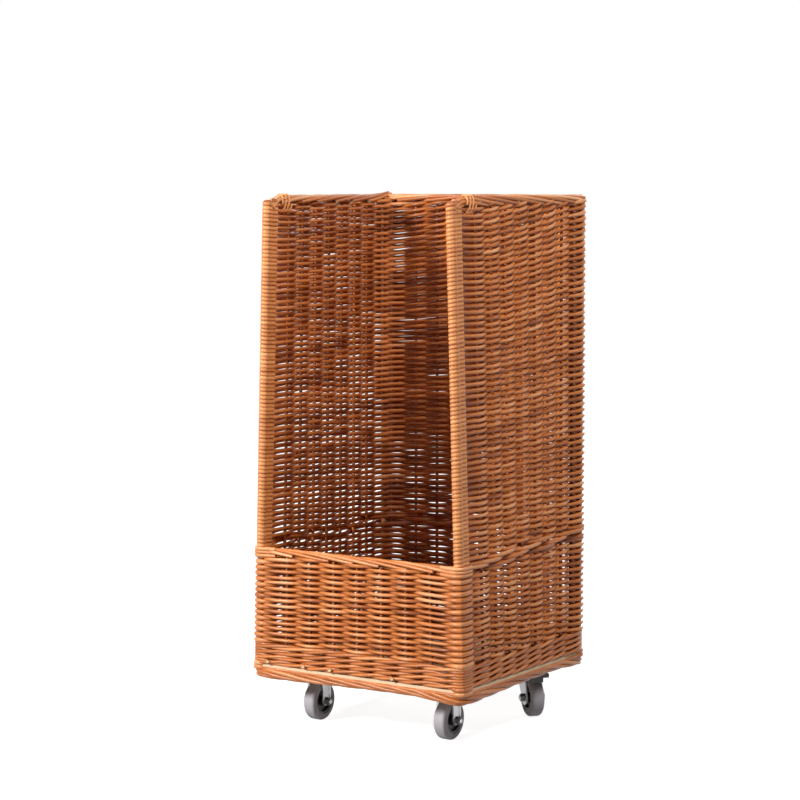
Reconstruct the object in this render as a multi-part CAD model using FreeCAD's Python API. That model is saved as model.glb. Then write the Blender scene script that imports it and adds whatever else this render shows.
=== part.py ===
import FreeCAD
import Part
import math
import os

# A tall willow basket for long loaves, open at the front above a low panel. It stands on two
# fixed castors in front and two braked swivel castors behind.
# Millimetres. Z is up, the front faces -Y, and the origin is on the floor under the middle of the basket.

os.makedirs("parts", exist_ok=True)

# Driving sizes of the basket
basket_width = 344.0
basket_depth = 331.0
total_height = 732.0
rail_height = 248.5
front_post_lean = 18.5
castor_height = 78.5

# Willow rods
weaver_thickness = 4.0
weaver_pitch = 3.95
weavers_per_row = 4
row_gap = 0.8
stake_diameter = 4.8
stake_clearance = 0.5
stakes_per_wall = 7
border_rod_diameter = 6.0
border_rod_gap = 0.4
front_post_rod_diameter = 10.0
front_post_rod_spacing = 13.0
rear_post_diameter = 16.0
post_tenon_diameter = 6.0
tenon_clearance = 0.4
turn_length = 5.0
turn_width = 2.4
turn_overlap = 1.0

# Skein wound round the front posts, weavers bent round the rear posts
wrap_pitch = 5.4
wraps_per_ridge = 4
wrap_clearance = 0.4
wrap_thickness = 1.6
wrap_groove = 0.8
wrap_end_segments = 5
corner_thickness = 3.6
corner_groove = 1.4
corner_sides = 10
end_clearance = 0.6

# Bottom wale, a tight band of thick rods above the board
wale_rods = 5
wale_rod_height = 6.0
wale_clearance = 0.9
wale_thickness = 2.7
wale_bulge = 1.1
wale_gap = 0.6

# Base board of plywood
board_thickness = 6.0
board_inset = 1.5
board_corner_radius = 12.0
foot_gap = 0.4

# Castors: places of the fixed wheels and the king pins, and the way each wheel points, as degrees from +X
fixed_inset_side = 65.0
fixed_inset_front = 68.5
pin_inset_side = 55.5
pin_inset_rear = 67.5
castors = [
    ("front_left", -1, -1, 90.0, False),
    ("front_right", 1, -1, 90.0, False),
    ("rear_left", -1, 1, 126.9, True),
    ("rear_right", 1, 1, -40.4, True),
]

# Castor parts
wheel_diameter = 54.0
wheel_width = 19.0
trail = 22.0
plate_size = 54.0
plate_thickness = 2.5
plate_corner_radius = 6.0
plate_hole_reach = 20.0
pin_diameter = 8.0
pin_running_fit = 0.05
pin_hole_clearance = 0.3
pin_head_diameter = 13.0
pin_head_height = 2.5
turning_gap = 0.3
race_height = 4.8
race_bottom_radius = 18.5
race_top_radius = 14.5
race_bore_clearance = 0.6
crown_thickness = 2.5
crown_radius = 19.0
fork_side_gap = 1.2
fork_sheet = 2.2
fork_bend_radius = 5.0
fork_back_reach = 10.0
fork_front_reach = 20.0
fork_back_drop = 14.0
fork_boss_radius = 10.5
strap_width = 24.0
strap_rib_width = 2.4
strap_rib_height = 1.4
axle_diameter = 6.0
axle_hole_clearance = 0.3
axle_head_width = 10.0
axle_head_height = 4.0
axle_nut_height = 5.0
axle_end_length = 2.0
axle_seat_gap = 0.1
sleeve_diameter = 9.0
sleeve_bore_clearance = 0.2
sleeve_end_gap = 0.2
hub_running_fit = 0.05
hub_boss_radius = 7.5
hub_boss_side_gap = 0.6
hub_rim_radius = 18.4
hub_rim_inner_radius = 15.4
hub_rim_half_width = 8.5
hub_web_half_width = 4.5
tyre_seat_clearance = 0.1
tyre_edge_radius = 4.5

# Plate bolts
bolt_diameter = 5.0
bolt_hole_clearance = 0.3
bolt_head_radius = 5.0
bolt_head_height = 2.6
bolt_end_length = 0.8
nut_width = 8.0
nut_height = 4.0
nut_bore_clearance = 0.25

# Brake of the rear castors
brake_angle = 10.0
brake_pivot_reach = 12.0
brake_pivot_height = 63.1
brake_pin_diameter = 4.0
brake_pin_fit = 0.05
brake_pin_head_radius = 3.2
brake_pin_head_height = 1.2
lever_boss_radius = 4.0
lever_boss_half_width = 9.6
lever_half_width = 7.0
lever_thickness = 2.0
lever_length = 53.0
lever_rise = 0.2
shoe_start = 29.0
shoe_end = 44.0
shoe_depth = 17.5
shoe_half_width = 8.0
shoe_stop_gap = 0.4
pad_seat_gap = 0.1
cap_start = 45.0
cap_end = 55.0
cap_half_width = 12.5
cap_top_thickness = 1.6
cap_bottom_thickness = 1.8

# Share of a unit direction above which an edge counts as lying along it
half_share = 0.5

# Heights that follow from the sizes above
up = FreeCAD.Vector(0, 0, 1)
board_bottom = castor_height
board_top = board_bottom + board_thickness
bundle_rise = math.sqrt((border_rod_diameter + border_rod_gap) ** 2
                        - ((border_rod_diameter + border_rod_gap) / 2) ** 2)
bundle_height = border_rod_diameter + bundle_rise
border_bottom = total_height - bundle_height
post_top = border_bottom - row_gap
wale_top = board_top + wale_gap + wale_rods * wale_rod_height
row_pitch = weaver_pitch * weavers_per_row

# Half thickness of a woven wall: the rows swing past the stakes by a set clearance
corner_radius = rear_post_diameter / 2 + wrap_clearance + corner_thickness
front_post_half_width = front_post_rod_diameter / 2 + wrap_clearance + wrap_thickness
swing_reach = stake_diameter / 2 + stake_clearance + weaver_thickness / 2
rough_span = (basket_width - 2 * corner_radius) / (stakes_per_wall + 1)
row_swing = swing_reach / math.sqrt(1 - (2 * swing_reach / rough_span) ** 2)
row_half_thickness = weaver_thickness / 2 * row_swing / swing_reach
wall_half = row_swing + row_half_thickness

# Lines of the walls and middles of the posts at the board
side_line = basket_width / 2 - wall_half
end_line = basket_depth / 2 - wall_half
rear_post_x = basket_width / 2 - corner_radius
rear_post_y = basket_depth / 2 - corner_radius
front_post_x = basket_width / 2 - front_post_half_width
front_post_y = -basket_depth / 2 + front_post_half_width + front_post_rod_spacing / 2
front_rod_ys = [front_post_y - front_post_rod_spacing / 2, front_post_y + front_post_rod_spacing / 2]
side_front_y = front_rod_ys[1] + front_post_half_width + end_clearance
side_rear_y = rear_post_y - corner_radius - end_clearance
back_end_x = rear_post_x - corner_radius - end_clearance
front_end_x = front_post_x - front_post_half_width - end_clearance


def save(name, shape):
    shape.exportStep("parts/" + name + ".step")


def lean_at(z):
    return front_post_lean * (z - board_top) / (total_height - board_top)


def rod(start, finish, radius):
    run = finish - start
    return Part.makeCylinder(radius, run.Length, start, run)


def group(shapes):
    return Part.makeCompound(shapes)


# A wall gives the place of a point on its stake line at height z, from share 0 to share 1 of its length,
# and the outward direction there.
def side_point(side, share, z):
    y = side_front_y + (side_rear_y - side_front_y) * share
    lean_share = (rear_post_y - y) / (rear_post_y - front_post_y)
    return FreeCAD.Vector(side * (side_line - lean_at(z) * lean_share), y, 0)


def left_point(share, z):
    return side_point(-1, share, z)


def right_point(share, z):
    return side_point(1, share, z)


def back_point(share, z):
    return FreeCAD.Vector(back_end_x * (2 * share - 1), end_line, 0)


def front_point(share, z):
    return FreeCAD.Vector((front_end_x - lean_at(z)) * (2 * share - 1), -end_line, 0)


walls = {
    "left": (left_point, FreeCAD.Vector(-1, 0, 0), post_top),
    "right": (right_point, FreeCAD.Vector(1, 0, 0), post_top),
    "back": (back_point, FreeCAD.Vector(0, 1, 0), post_top),
    "front": (front_point, FreeCAD.Vector(0, -1, 0), rail_height - bundle_height - row_gap),
}
stake_shares = [(number + 1) / (stakes_per_wall + 1) for number in range(stakes_per_wall)]


# Stakes: the upright rods of one wall, standing through the board
def wall_stakes(point, top):
    shapes = []
    for share in stake_shares:
        foot = point(share, board_bottom)
        head = point(share, top)
        foot.z = board_bottom
        head.z = top
        shapes.append(rod(foot, head, stake_diameter / 2))
    return group(shapes)


# One row of weaving: a strip that swings before one stake and behind the next
def woven_row(point, outward, bottom, height, phase):
    z = bottom + height / 2
    middle = [point(0, z)]
    side = phase
    for share in stake_shares:
        middle.append(point(share, z) + outward * (side * row_swing))
        side = -side
    middle.append(point(1, z))
    edge = outward * row_half_thickness
    outline = [place + edge for place in middle] + [place - edge for place in reversed(middle)]
    lift = up * bottom
    wire = Part.makePolygon([place + lift for place in outline + outline[:1]])
    return Part.Face(wire).extrude(up * height)


# The turn at a post, where the weaving rises from one row to the next
def row_turn(point, outward, top_of_row, at_end):
    z = top_of_row + row_gap / 2
    near = point(at_end, z)
    along = point(1 - at_end, z) - near
    along.normalize()
    half = outward * (turn_width / 2)
    reach = along * turn_length
    lift = up * (top_of_row - turn_overlap)
    corners = [near + half, near + half + reach, near - half + reach, near - half, near + half]
    wire = Part.makePolygon([corner + lift for corner in corners])
    return Part.Face(wire).extrude(up * (row_gap + 2 * turn_overlap))


def wall_weave(point, outward, top):
    first = wale_top + wale_gap
    count = max(2, round((top - first) / row_pitch))
    pitch = (top - first) / count
    shapes = []
    for number in range(count):
        bottom = first + number * pitch
        shapes.append(woven_row(point, outward, bottom, pitch - row_gap, 1 if number % 2 else -1))
        if number:
            shapes.append(row_turn(point, outward, bottom - row_gap, number % 2))
    return shapes[0].multiFuse(shapes[1:])


# One band of the wale, with a rounded face for each of its rods
def wale_band(point, outward, side):
    z = board_top + wale_gap + wale_rods * wale_rod_height / 2
    start = point(0, z)
    run = point(1, z) - start
    inner = stake_diameter / 2 + wale_clearance
    outer = inner + wale_thickness

    def place(reach, height):
        return start + outward * (side * reach) + up * height

    low = board_top + wale_gap
    edges = [Part.makeLine(place(outer, low), place(inner, low))]
    edges.append(Part.makeLine(place(inner, low), place(inner, wale_top)))
    edges.append(Part.makeLine(place(inner, wale_top), place(outer, wale_top)))
    for number in range(wale_rods):
        high = wale_top - number * wale_rod_height
        crest = place(outer + wale_bulge, high - wale_rod_height / 2)
        edges.append(Part.Arc(place(outer, high), crest, place(outer, high - wale_rod_height)).toShape())
    return Part.Face(Part.Wire(edges)).extrude(run)


# Three rods laid together as a border, along a line whose ends are given at the middle of the bundle
def border_bundle(start, finish, outward, bottom, peak_up):
    half = outward * ((border_rod_diameter + border_rod_gap) / 2)
    radius = border_rod_diameter / 2
    pair_z = bottom + radius if peak_up else bottom + radius + bundle_rise
    peak_z = bottom + radius + bundle_rise if peak_up else bottom + radius
    shapes = []
    for shift, z in ((half, pair_z), (half * -1, pair_z), (half * 0, peak_z)):
        shapes.append(rod(start + shift + up * z, finish + shift + up * z, radius))
    return shapes


# A closed solid from flat faces, each given by its corners
def solid_of(outlines):
    faces = [Part.Face(Part.makePolygon(outline + outline[:1])) for outline in outlines]
    shell = Part.makeShell(faces)
    shell.sewShape()
    return Part.makeSolid(shell)


# The skein on one front post: a sleeve whose ridge winds up the leaning post without a break
def post_wrap(side):
    count = round((post_top - board_top) / (wrap_pitch * wraps_per_ridge))
    pitch = (post_top - board_top) / count
    segment = math.pi / wrap_end_segments
    crest = front_post_half_width
    valley = crest - wrap_groove
    bore = (front_post_rod_diameter / 2 + wrap_clearance) / math.cos(segment / 2)
    stations = []
    for y, start in ((front_rod_ys[1], 0), (front_rod_ys[0], math.pi)):
        for number in range(wrap_end_segments + 1):
            stations.append((y, start + segment * number))
    around = len(stations)
    steps = (count - 1) * around

    def place(step, radius, rise):
        y, turn = stations[step % around]
        z = board_top + pitch * step / around + rise
        x = side * (front_post_x - lean_at(z))
        return FreeCAD.Vector(x + radius * math.cos(turn), y + radius * math.sin(turn), z)

    low = [place(step, valley, 0) for step in range(steps + around + 1)]
    high = [place(step, crest, pitch / 2) for step in range(steps + 1)]
    bottom = [place(step, bore, 0) for step in range(around + 1)]
    top = [place(step, bore, 0) for step in range(steps, steps + around + 1)]
    outlines = []
    for step in range(steps):
        above = step + around
        outlines.append([low[step], low[step + 1], high[step]])
        outlines.append([low[step + 1], high[step + 1], high[step]])
        outlines.append([high[step], high[step + 1], low[above]])
        outlines.append([high[step + 1], low[above + 1], low[above]])
    for number in range(around):
        upper = steps + number
        outlines.append([low[number], low[number + 1], bottom[number]])
        outlines.append([low[number + 1], bottom[number + 1], bottom[number]])
        outlines.append([low[upper], low[upper + 1], top[number]])
        outlines.append([low[upper + 1], top[number + 1], top[number]])
    for number in range(1, around):
        outlines.append([bottom[number], bottom[number + 1], top[number]])
        outlines.append([bottom[number + 1], top[number + 1], top[number]])
    outlines.append([bottom[0], bottom[1], bottom[around]])
    outlines.append([bottom[1], top[1], bottom[around]])
    outlines.append([top[0], bottom[around], top[1]])
    outlines.append([low[0], high[0], bottom[0]])
    outlines.append([high[0], bottom[around], bottom[0]])
    outlines.append([high[0], low[around], bottom[around]])
    outlines.append([low[steps], high[steps], top[0]])
    outlines.append([high[steps], top[around], top[0]])
    outlines.append([high[steps], low[steps + around], top[around]])
    return solid_of(outlines)


# The weavers that bend round one rear post: a ring for each row
def corner_weave(side):
    count = round((post_top - board_top) / row_pitch)
    pitch = (post_top - board_top) / count
    segment = 2 * math.pi / corner_sides
    bore = (rear_post_diameter / 2 + wrap_clearance) / math.cos(segment / 2)

    def ring(radius, z):
        corners = []
        for number in range(corner_sides):
            x = side * (rear_post_x + radius * math.cos(segment * number))
            corners.append(FreeCAD.Vector(x, rear_post_y + radius * math.sin(segment * number), z))
        return corners

    rings = [ring(bore, board_top)]
    for number in range(count):
        z = board_top + number * pitch
        rings.append(ring(corner_radius - corner_groove, z))
        rings.append(ring(corner_radius, z + pitch / 2))
    rings.append(ring(corner_radius - corner_groove, post_top))
    rings.append(ring(bore, post_top))
    outlines = []
    for number in range(len(rings)):
        below = rings[number - 1]
        above = rings[number]
        for corner in range(corner_sides):
            outlines.append([below[corner - 1], below[corner], above[corner], above[corner - 1]])
    return solid_of(outlines)


def post_with_tenon(foot, head, radius):
    tenon = Part.makeCylinder(post_tenon_diameter / 2, board_thickness, foot - up * board_thickness)
    return rod(foot, head, radius).fuse(tenon).removeSplitter()


def front_post_rods(side):
    shapes = []
    for y in front_rod_ys:
        foot = FreeCAD.Vector(side * front_post_x, y, board_top)
        head = FreeCAD.Vector(side * (front_post_x - lean_at(post_top)), y, post_top)
        shapes.append(post_with_tenon(foot, head, front_post_rod_diameter / 2))
    return shapes


# A swivel castor has its king pin at its local origin, a fixed castor its axle. The wheel of a swivel castor
# trails along local x, and the axle lies along local y.
def castor_place(side_x, side_y):
    inset_side = fixed_inset_side if side_y < 0 else pin_inset_side
    inset_end = fixed_inset_front if side_y < 0 else pin_inset_rear
    x = side_x * (basket_width / 2 - inset_side)
    y = side_y * (basket_depth / 2 - inset_end)
    return FreeCAD.Vector(x, y, 0)


def placed(shape, side_x, side_y, heading, reach=0.0):
    copy = shape.copy()
    copy.translate(FreeCAD.Vector(reach, 0, 0))
    copy.rotate(FreeCAD.Vector(0, 0, 0), up, heading)
    copy.translate(castor_place(side_x, side_y))
    return copy


def upright(radius, bottom, top, x=0.0, y=0.0):
    return Part.makeCylinder(radius, top - bottom, FreeCAD.Vector(x, y, bottom))


def crosswise(radius, first, last, x, z):
    return Part.makeCylinder(radius, last - first, FreeCAD.Vector(x, first, z), FreeCAD.Vector(0, 1, 0))


def rounded_plate(width, depth, radius, bottom, thickness):
    box = Part.makeBox(width, depth, thickness, FreeCAD.Vector(-width / 2, -depth / 2, bottom))
    posts = [edge for edge in box.Edges if abs(edge.tangentAt(edge.FirstParameter).z) > half_share]
    return box.makeFillet(radius, posts)


def hexagon(width, height, base, direction):
    side_turn = math.pi / 3
    reach = width / 2 / math.cos(side_turn / 2)
    first = FreeCAD.Vector(0, 0, 1) if abs(direction.z) < half_share else FreeCAD.Vector(1, 0, 0)
    second = direction.cross(first)
    points = []
    for number in range(7):
        turn = number * side_turn
        points.append(base + first * (reach * math.cos(turn)) + second * (reach * math.sin(turn)))
    return Part.Face(Part.makePolygon(points)).extrude(direction * height)


plate_bottom = castor_height - plate_thickness
race_bottom = plate_bottom - race_height
crown_top = race_bottom - turning_gap
crown_bottom = crown_top - crown_thickness
wheel_radius = wheel_diameter / 2
fork_inner = wheel_width / 2 + fork_side_gap
fork_outer = fork_inner + fork_sheet
hole_places = [(x * plate_hole_reach, y * plate_hole_reach) for x in (-1, 1) for y in (-1, 1)]


def top_plate(swivels):
    plate = rounded_plate(plate_size, plate_size, plate_corner_radius, plate_bottom, plate_thickness)
    if swivels:
        plate = plate.cut(upright(pin_diameter / 2 + pin_hole_clearance, plate_bottom, castor_height))
    for x, y in hole_places:
        plate = plate.cut(upright(bolt_diameter / 2 + bolt_hole_clearance, plate_bottom, castor_height, x, y))
    return plate


def swivel_race():
    cone = Part.makeCone(race_bottom_radius, race_top_radius, race_height, FreeCAD.Vector(0, 0, race_bottom))
    return cone.cut(upright(pin_diameter / 2 + race_bore_clearance, race_bottom, plate_bottom))


def king_pin():
    head_top = crown_bottom - turning_gap
    shank = upright(pin_diameter / 2, head_top, castor_height - turning_gap)
    head = upright(pin_head_diameter / 2, head_top - pin_head_height, head_top)
    return shank.fuse(head).removeSplitter()


def plate_bolt(x, y):
    shank = upright(bolt_diameter / 2, plate_bottom - nut_height - bolt_end_length, board_top, x, y)
    dome_radius = (bolt_head_radius ** 2 + bolt_head_height ** 2) / (2 * bolt_head_height)
    ball = Part.makeSphere(dome_radius, FreeCAD.Vector(x, y, board_top + bolt_head_height - dome_radius))
    head = ball.common(upright(bolt_head_radius, board_top, board_top + bolt_head_height, x, y))
    return shank.fuse(head).removeSplitter()


def plate_nut(x, y):
    body = hexagon(nut_width, nut_height, FreeCAD.Vector(x, y, plate_bottom), FreeCAD.Vector(0, 0, -1))
    bore = bolt_diameter / 2 + nut_bore_clearance
    return body.cut(upright(bore, plate_bottom - nut_height, plate_bottom, x, y))


# A strip bent to a channel: a flat crown with a leg on each side of the wheel
def bent_strip(top, thickness, lower, start, length):
    def block(half_width, height, bend):
        box = Part.makeBox(length, 2 * half_width, height - lower, FreeCAD.Vector(start, -half_width, lower))
        middle = (height + lower) / 2
        bends = []
        for edge in box.Edges:
            if abs(edge.tangentAt(edge.FirstParameter).x) > half_share and edge.CenterOfMass.z > middle:
                bends.append(edge)
        return box.makeFillet(bend, bends)

    inner_bend = fork_bend_radius - fork_sheet
    return block(fork_outer, top, fork_bend_radius).cut(block(fork_inner, top - thickness, inner_bend))


# The swivel fork: a channel cut to the slanting outline of its legs, under a round crown
def swivel_fork():
    def leg(x, z):
        return FreeCAD.Vector(x, -crown_radius, z)

    lower = wheel_radius - fork_boss_radius
    left = trail - fork_boss_radius
    right = trail + fork_boss_radius
    sides = [
        Part.makeLine(leg(-fork_back_reach, crown_top), leg(fork_front_reach, crown_top)),
        Part.makeLine(leg(fork_front_reach, crown_top), leg(right, wheel_radius)),
        Part.Arc(leg(right, wheel_radius), leg(trail, lower), leg(left, wheel_radius)).toShape(),
        Part.makeLine(leg(left, wheel_radius), leg(-fork_back_reach, crown_top - fork_back_drop)),
        Part.makeLine(leg(-fork_back_reach, crown_top - fork_back_drop), leg(-fork_back_reach, crown_top)),
    ]
    outline = Part.Face(Part.Wire(sides)).extrude(FreeCAD.Vector(0, 2 * crown_radius, 0))
    channel = bent_strip(crown_top, crown_thickness, lower, -crown_radius, crown_radius + right)
    body = channel.common(outline).fuse(upright(crown_radius, crown_bottom, crown_top)).removeSplitter()
    body = body.cut(upright(pin_diameter / 2 + pin_running_fit, crown_bottom, crown_top))
    hole = axle_diameter / 2 + axle_hole_clearance
    body = body.cut(crosswise(hole, -crown_radius, crown_radius, trail, wheel_radius))
    pivot = brake_pin_diameter / 2 + brake_pin_fit
    return body.cut(crosswise(pivot, -crown_radius, crown_radius, brake_pivot_reach, brake_pivot_height))


# The fixed fork: a straight strap with round ends and ribbed edges, folded down under the plate
def fixed_fork():
    half = strap_width / 2
    far = fork_outer + strap_rib_height
    lower = wheel_radius - half
    strap = bent_strip(plate_bottom, fork_sheet, lower, -half, strap_width)
    outline = crosswise(half, -far, far, 0, wheel_radius)
    outline = outline.fuse(Part.makeBox(strap_width, 2 * far, plate_bottom - wheel_radius,
                                        FreeCAD.Vector(-half, -far, wheel_radius)))
    body = strap.common(outline)
    rib_length = plate_bottom - fork_bend_radius - wheel_radius
    for side in (-1, 1):
        for edge in (-half, half - strap_rib_width):
            face = fork_outer if side > 0 else -far
            corner = FreeCAD.Vector(edge, face, wheel_radius)
            body = body.fuse(Part.makeBox(strap_rib_width, strap_rib_height, rib_length, corner))
    hole = axle_diameter / 2 + axle_hole_clearance
    return body.removeSplitter().cut(crosswise(hole, -far, far, 0, wheel_radius))


# Pieces of the wheel lie about the axle, which is their local origin
def axle_bolt():
    head_face = fork_outer + axle_seat_gap
    end = -(head_face + axle_nut_height + axle_end_length)
    shank = crosswise(axle_diameter / 2, end, head_face, 0, wheel_radius)
    base = FreeCAD.Vector(0, head_face, wheel_radius)
    head = hexagon(axle_head_width, axle_head_height, base, FreeCAD.Vector(0, 1, 0))
    return shank.fuse(head).removeSplitter()


def axle_nut():
    base = FreeCAD.Vector(0, -(fork_outer + axle_seat_gap), wheel_radius)
    body = hexagon(axle_head_width, axle_nut_height, base, FreeCAD.Vector(0, -1, 0))
    bore = axle_diameter / 2 + nut_bore_clearance
    return body.cut(crosswise(bore, base.y - axle_nut_height, base.y, 0, wheel_radius))


def axle_sleeve():
    reach = fork_inner - sleeve_end_gap
    tube = crosswise(sleeve_diameter / 2, -reach, reach, 0, wheel_radius)
    bore = axle_diameter / 2 + sleeve_bore_clearance
    return tube.cut(crosswise(bore, -reach, reach, 0, wheel_radius))


def turned(points):
    places = [FreeCAD.Vector(radius, y, wheel_radius) for radius, y in points]
    face = Part.Face(Part.makePolygon(places + places[:1]))
    return face.revolve(FreeCAD.Vector(0, 0, wheel_radius), FreeCAD.Vector(0, 1, 0), 360)


def wheel_core():
    bore = sleeve_diameter / 2 + hub_running_fit
    boss = fork_inner - hub_boss_side_gap
    half = [
        (bore, boss), (hub_boss_radius, boss), (hub_boss_radius, hub_web_half_width),
        (hub_rim_inner_radius, hub_web_half_width), (hub_rim_inner_radius, hub_rim_half_width),
        (hub_rim_radius, hub_rim_half_width),
    ]
    return turned(half + [(radius, -y) for radius, y in reversed(half)])


def tyre():
    bore = hub_rim_radius + tyre_seat_clearance
    ring = crosswise(wheel_radius, -wheel_width / 2, wheel_width / 2, 0, wheel_radius)
    rims = [edge for edge in ring.Edges if edge.Closed]
    ring = ring.makeFillet(tyre_edge_radius, rims)
    return ring.cut(crosswise(bore, -wheel_width, wheel_width, 0, wheel_radius))


# The brake: a lever between the legs, turned down on to the tread by its pedal
def lever_block(first, last, half_width, bottom, top):
    size = FreeCAD.Vector(last - first, 2 * half_width, top - bottom)
    return Part.makeBox(size.x, size.y, size.z, FreeCAD.Vector(first, -half_width, bottom))


lever_bottom = brake_pivot_height + lever_rise - lever_thickness / 2
lever_top = lever_bottom + lever_thickness


def brake_lever():
    boss = crosswise(lever_boss_radius, -lever_boss_half_width, lever_boss_half_width,
                     brake_pivot_reach, brake_pivot_height)
    arm = lever_block(brake_pivot_reach, lever_length, lever_half_width, lever_bottom, lever_top)
    bore = brake_pin_diameter / 2 + brake_pin_fit
    hole = crosswise(bore, -crown_radius, crown_radius, brake_pivot_reach, brake_pivot_height)
    return boss.fuse(arm).removeSplitter().cut(hole)


def brake_pin():
    seat = fork_outer + axle_seat_gap
    end = seat + brake_pin_head_height
    shank = crosswise(brake_pin_diameter / 2, -seat, seat, brake_pivot_reach, brake_pivot_height)
    head = crosswise(brake_pin_head_radius, seat, end, brake_pivot_reach, brake_pivot_height)
    tail = crosswise(brake_pin_head_radius, -end, -seat, brake_pivot_reach, brake_pivot_height)
    return shank.fuse(head).fuse(tail).removeSplitter()


# The shoe is hollowed so that, with the pedal down, it stops a set gap above the tread
def brake_shoe():
    shoe_top = lever_bottom - pad_seat_gap
    block = lever_block(shoe_start, shoe_end, shoe_half_width, lever_bottom - shoe_depth, shoe_top)
    tread = crosswise(wheel_radius + shoe_stop_gap, -wheel_width, wheel_width, trail, wheel_radius)
    pivot = FreeCAD.Vector(brake_pivot_reach, 0, brake_pivot_height)
    tread.rotate(pivot, FreeCAD.Vector(0, 1, 0), -brake_angle)
    return block.cut(tread)


def pedal_cap():
    block = lever_block(cap_start, cap_end, cap_half_width, lever_bottom - cap_bottom_thickness,
                        lever_top + cap_top_thickness)
    slot = lever_block(cap_start, lever_length + pad_seat_gap, lever_half_width + pad_seat_gap,
                       lever_bottom - pad_seat_gap, lever_top + pad_seat_gap)
    return block.cut(slot)


# Base board, drilled for the stakes, the post tenons and the plate bolts
def base_board():
    width = basket_width - 2 * board_inset
    depth = basket_depth - 2 * board_inset
    board = rounded_plate(width, depth, board_corner_radius, board_bottom, board_thickness)
    holes = []
    for point, outward, top in walls.values():
        for share in stake_shares:
            place = point(share, board_top)
            holes.append((stake_diameter / 2 + stake_clearance, place.x, place.y))
    tenon = post_tenon_diameter / 2 + tenon_clearance
    for side in (-1, 1):
        holes.append((tenon, side * rear_post_x, rear_post_y))
        for y in front_rod_ys:
            holes.append((tenon, side * front_post_x, y))
    for name, side_x, side_y, heading, swivels in castors:
        for x, y in hole_places:
            place = castor_place(side_x, side_y)
            holes.append((bolt_diameter / 2 + bolt_hole_clearance, place.x + x, place.y + y))
    tools = [upright(radius, board_bottom, board_top, x, y) for radius, x, y in holes]
    return board.cut(group(tools))


# Basket
save("base_board", base_board())
for name, (point, outward, top) in walls.items():
    save(name + "_stakes", wall_stakes(point, top))
    save(name + "_weave", wall_weave(point, outward, top))
for name, side in (("left", -1), ("right", 1)):
    save("front_" + name + "_post", group(front_post_rods(side)))
    foot = FreeCAD.Vector(side * rear_post_x, rear_post_y, board_top)
    head = FreeCAD.Vector(side * rear_post_x, rear_post_y, post_top)
    save("rear_" + name + "_post", post_with_tenon(foot, head, rear_post_diameter / 2))
save("front_post_wraps", group([post_wrap(-1), post_wrap(1)]))
save("rear_corner_weaves", group([corner_weave(-1), corner_weave(1)]))

bands = []
for point, outward, top in walls.values():
    bands.append(wale_band(point, outward, 1))
    bands.append(wale_band(point, outward, -1))
save("bottom_wale", group(bands))

# Borders: three rods on each top edge, on the front panel and under the board
border_half = border_rod_diameter + border_rod_gap / 2
rim_front = -basket_depth / 2
rim_rear = basket_depth / 2
for name, side in (("left", -1), ("right", 1)):
    front_end = FreeCAD.Vector(side * (front_post_x - lean_at(total_height)), rim_front, 0)
    rear_end = FreeCAD.Vector(side * (basket_width / 2 - wall_half), rim_rear, 0)
    outward = FreeCAD.Vector(side, 0, 0)
    save(name + "_top_border", group(border_bundle(front_end, rear_end, outward, border_bottom, True)))
back_reach = basket_width / 2 - wall_half - border_half - end_clearance
ends = [FreeCAD.Vector(-back_reach, end_line, 0), FreeCAD.Vector(back_reach, end_line, 0)]
save("back_top_border", group(border_bundle(ends[0], ends[1], FreeCAD.Vector(0, 1, 0), border_bottom, True)))
rail_reach = front_end_x - lean_at(rail_height)
ends = [FreeCAD.Vector(-rail_reach, -end_line, 0), FreeCAD.Vector(rail_reach, -end_line, 0)]
rail_bottom = rail_height - bundle_height
save("front_rail", group(border_bundle(ends[0], ends[1], FreeCAD.Vector(0, -1, 0), rail_bottom, True)))

foot_bottom = board_bottom - foot_gap - bundle_height
foot_rods = []
for side in (-1, 1):
    a = FreeCAD.Vector(side * side_line, rim_front, 0)
    b = FreeCAD.Vector(side * side_line, rim_rear, 0)
    foot_rods += border_bundle(a, b, FreeCAD.Vector(1, 0, 0), foot_bottom, False)
    a = FreeCAD.Vector(-back_reach, side * end_line, 0)
    b = FreeCAD.Vector(back_reach, side * end_line, 0)
    foot_rods += border_bundle(a, b, FreeCAD.Vector(0, 1, 0), foot_bottom, False)
save("foot_border", group(foot_rods))

# Castor pieces fixed to the basket
plates = []
races = []
pins = []
bolts = []
nuts = []
for name, side_x, side_y, heading, swivels in castors:
    plates.append(placed(top_plate(swivels), side_x, side_y, 0))
    if swivels:
        races.append(placed(swivel_race(), side_x, side_y, 0))
        pins.append(placed(king_pin(), side_x, side_y, 0))
    for x, y in hole_places:
        bolts.append(placed(plate_bolt(x, y), side_x, side_y, 0))
        nuts.append(placed(plate_nut(x, y), side_x, side_y, 0))
save("castor_plates", group(plates))
save("swivel_races", group(races))
save("king_pins", group(pins))
save("plate_bolts", group(bolts))
save("plate_nuts", group(nuts))

# Wheels with their axles, then the forks and brakes that hold them
for name, side_x, side_y, heading, swivels in castors:
    wheel_pieces = {
        "axle_bolt": axle_bolt(),
        "axle_nut": axle_nut(),
        "axle_sleeve": axle_sleeve(),
        "wheel_core": wheel_core(),
        "tyre": tyre(),
    }
    reach = trail if swivels else 0.0
    for piece, shape in wheel_pieces.items():
        save(name + "_" + piece, placed(shape, side_x, side_y, heading, reach))
    fork_pieces = {"fork": swivel_fork() if swivels else fixed_fork()}
    if swivels:
        fork_pieces["brake_pin"] = brake_pin()
        fork_pieces["brake_lever"] = brake_lever()
        fork_pieces["brake_shoe"] = brake_shoe()
        fork_pieces["pedal_cap"] = pedal_cap()
    for piece, shape in fork_pieces.items():
        save(name + "_" + piece, placed(shape, side_x, side_y, heading))
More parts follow.
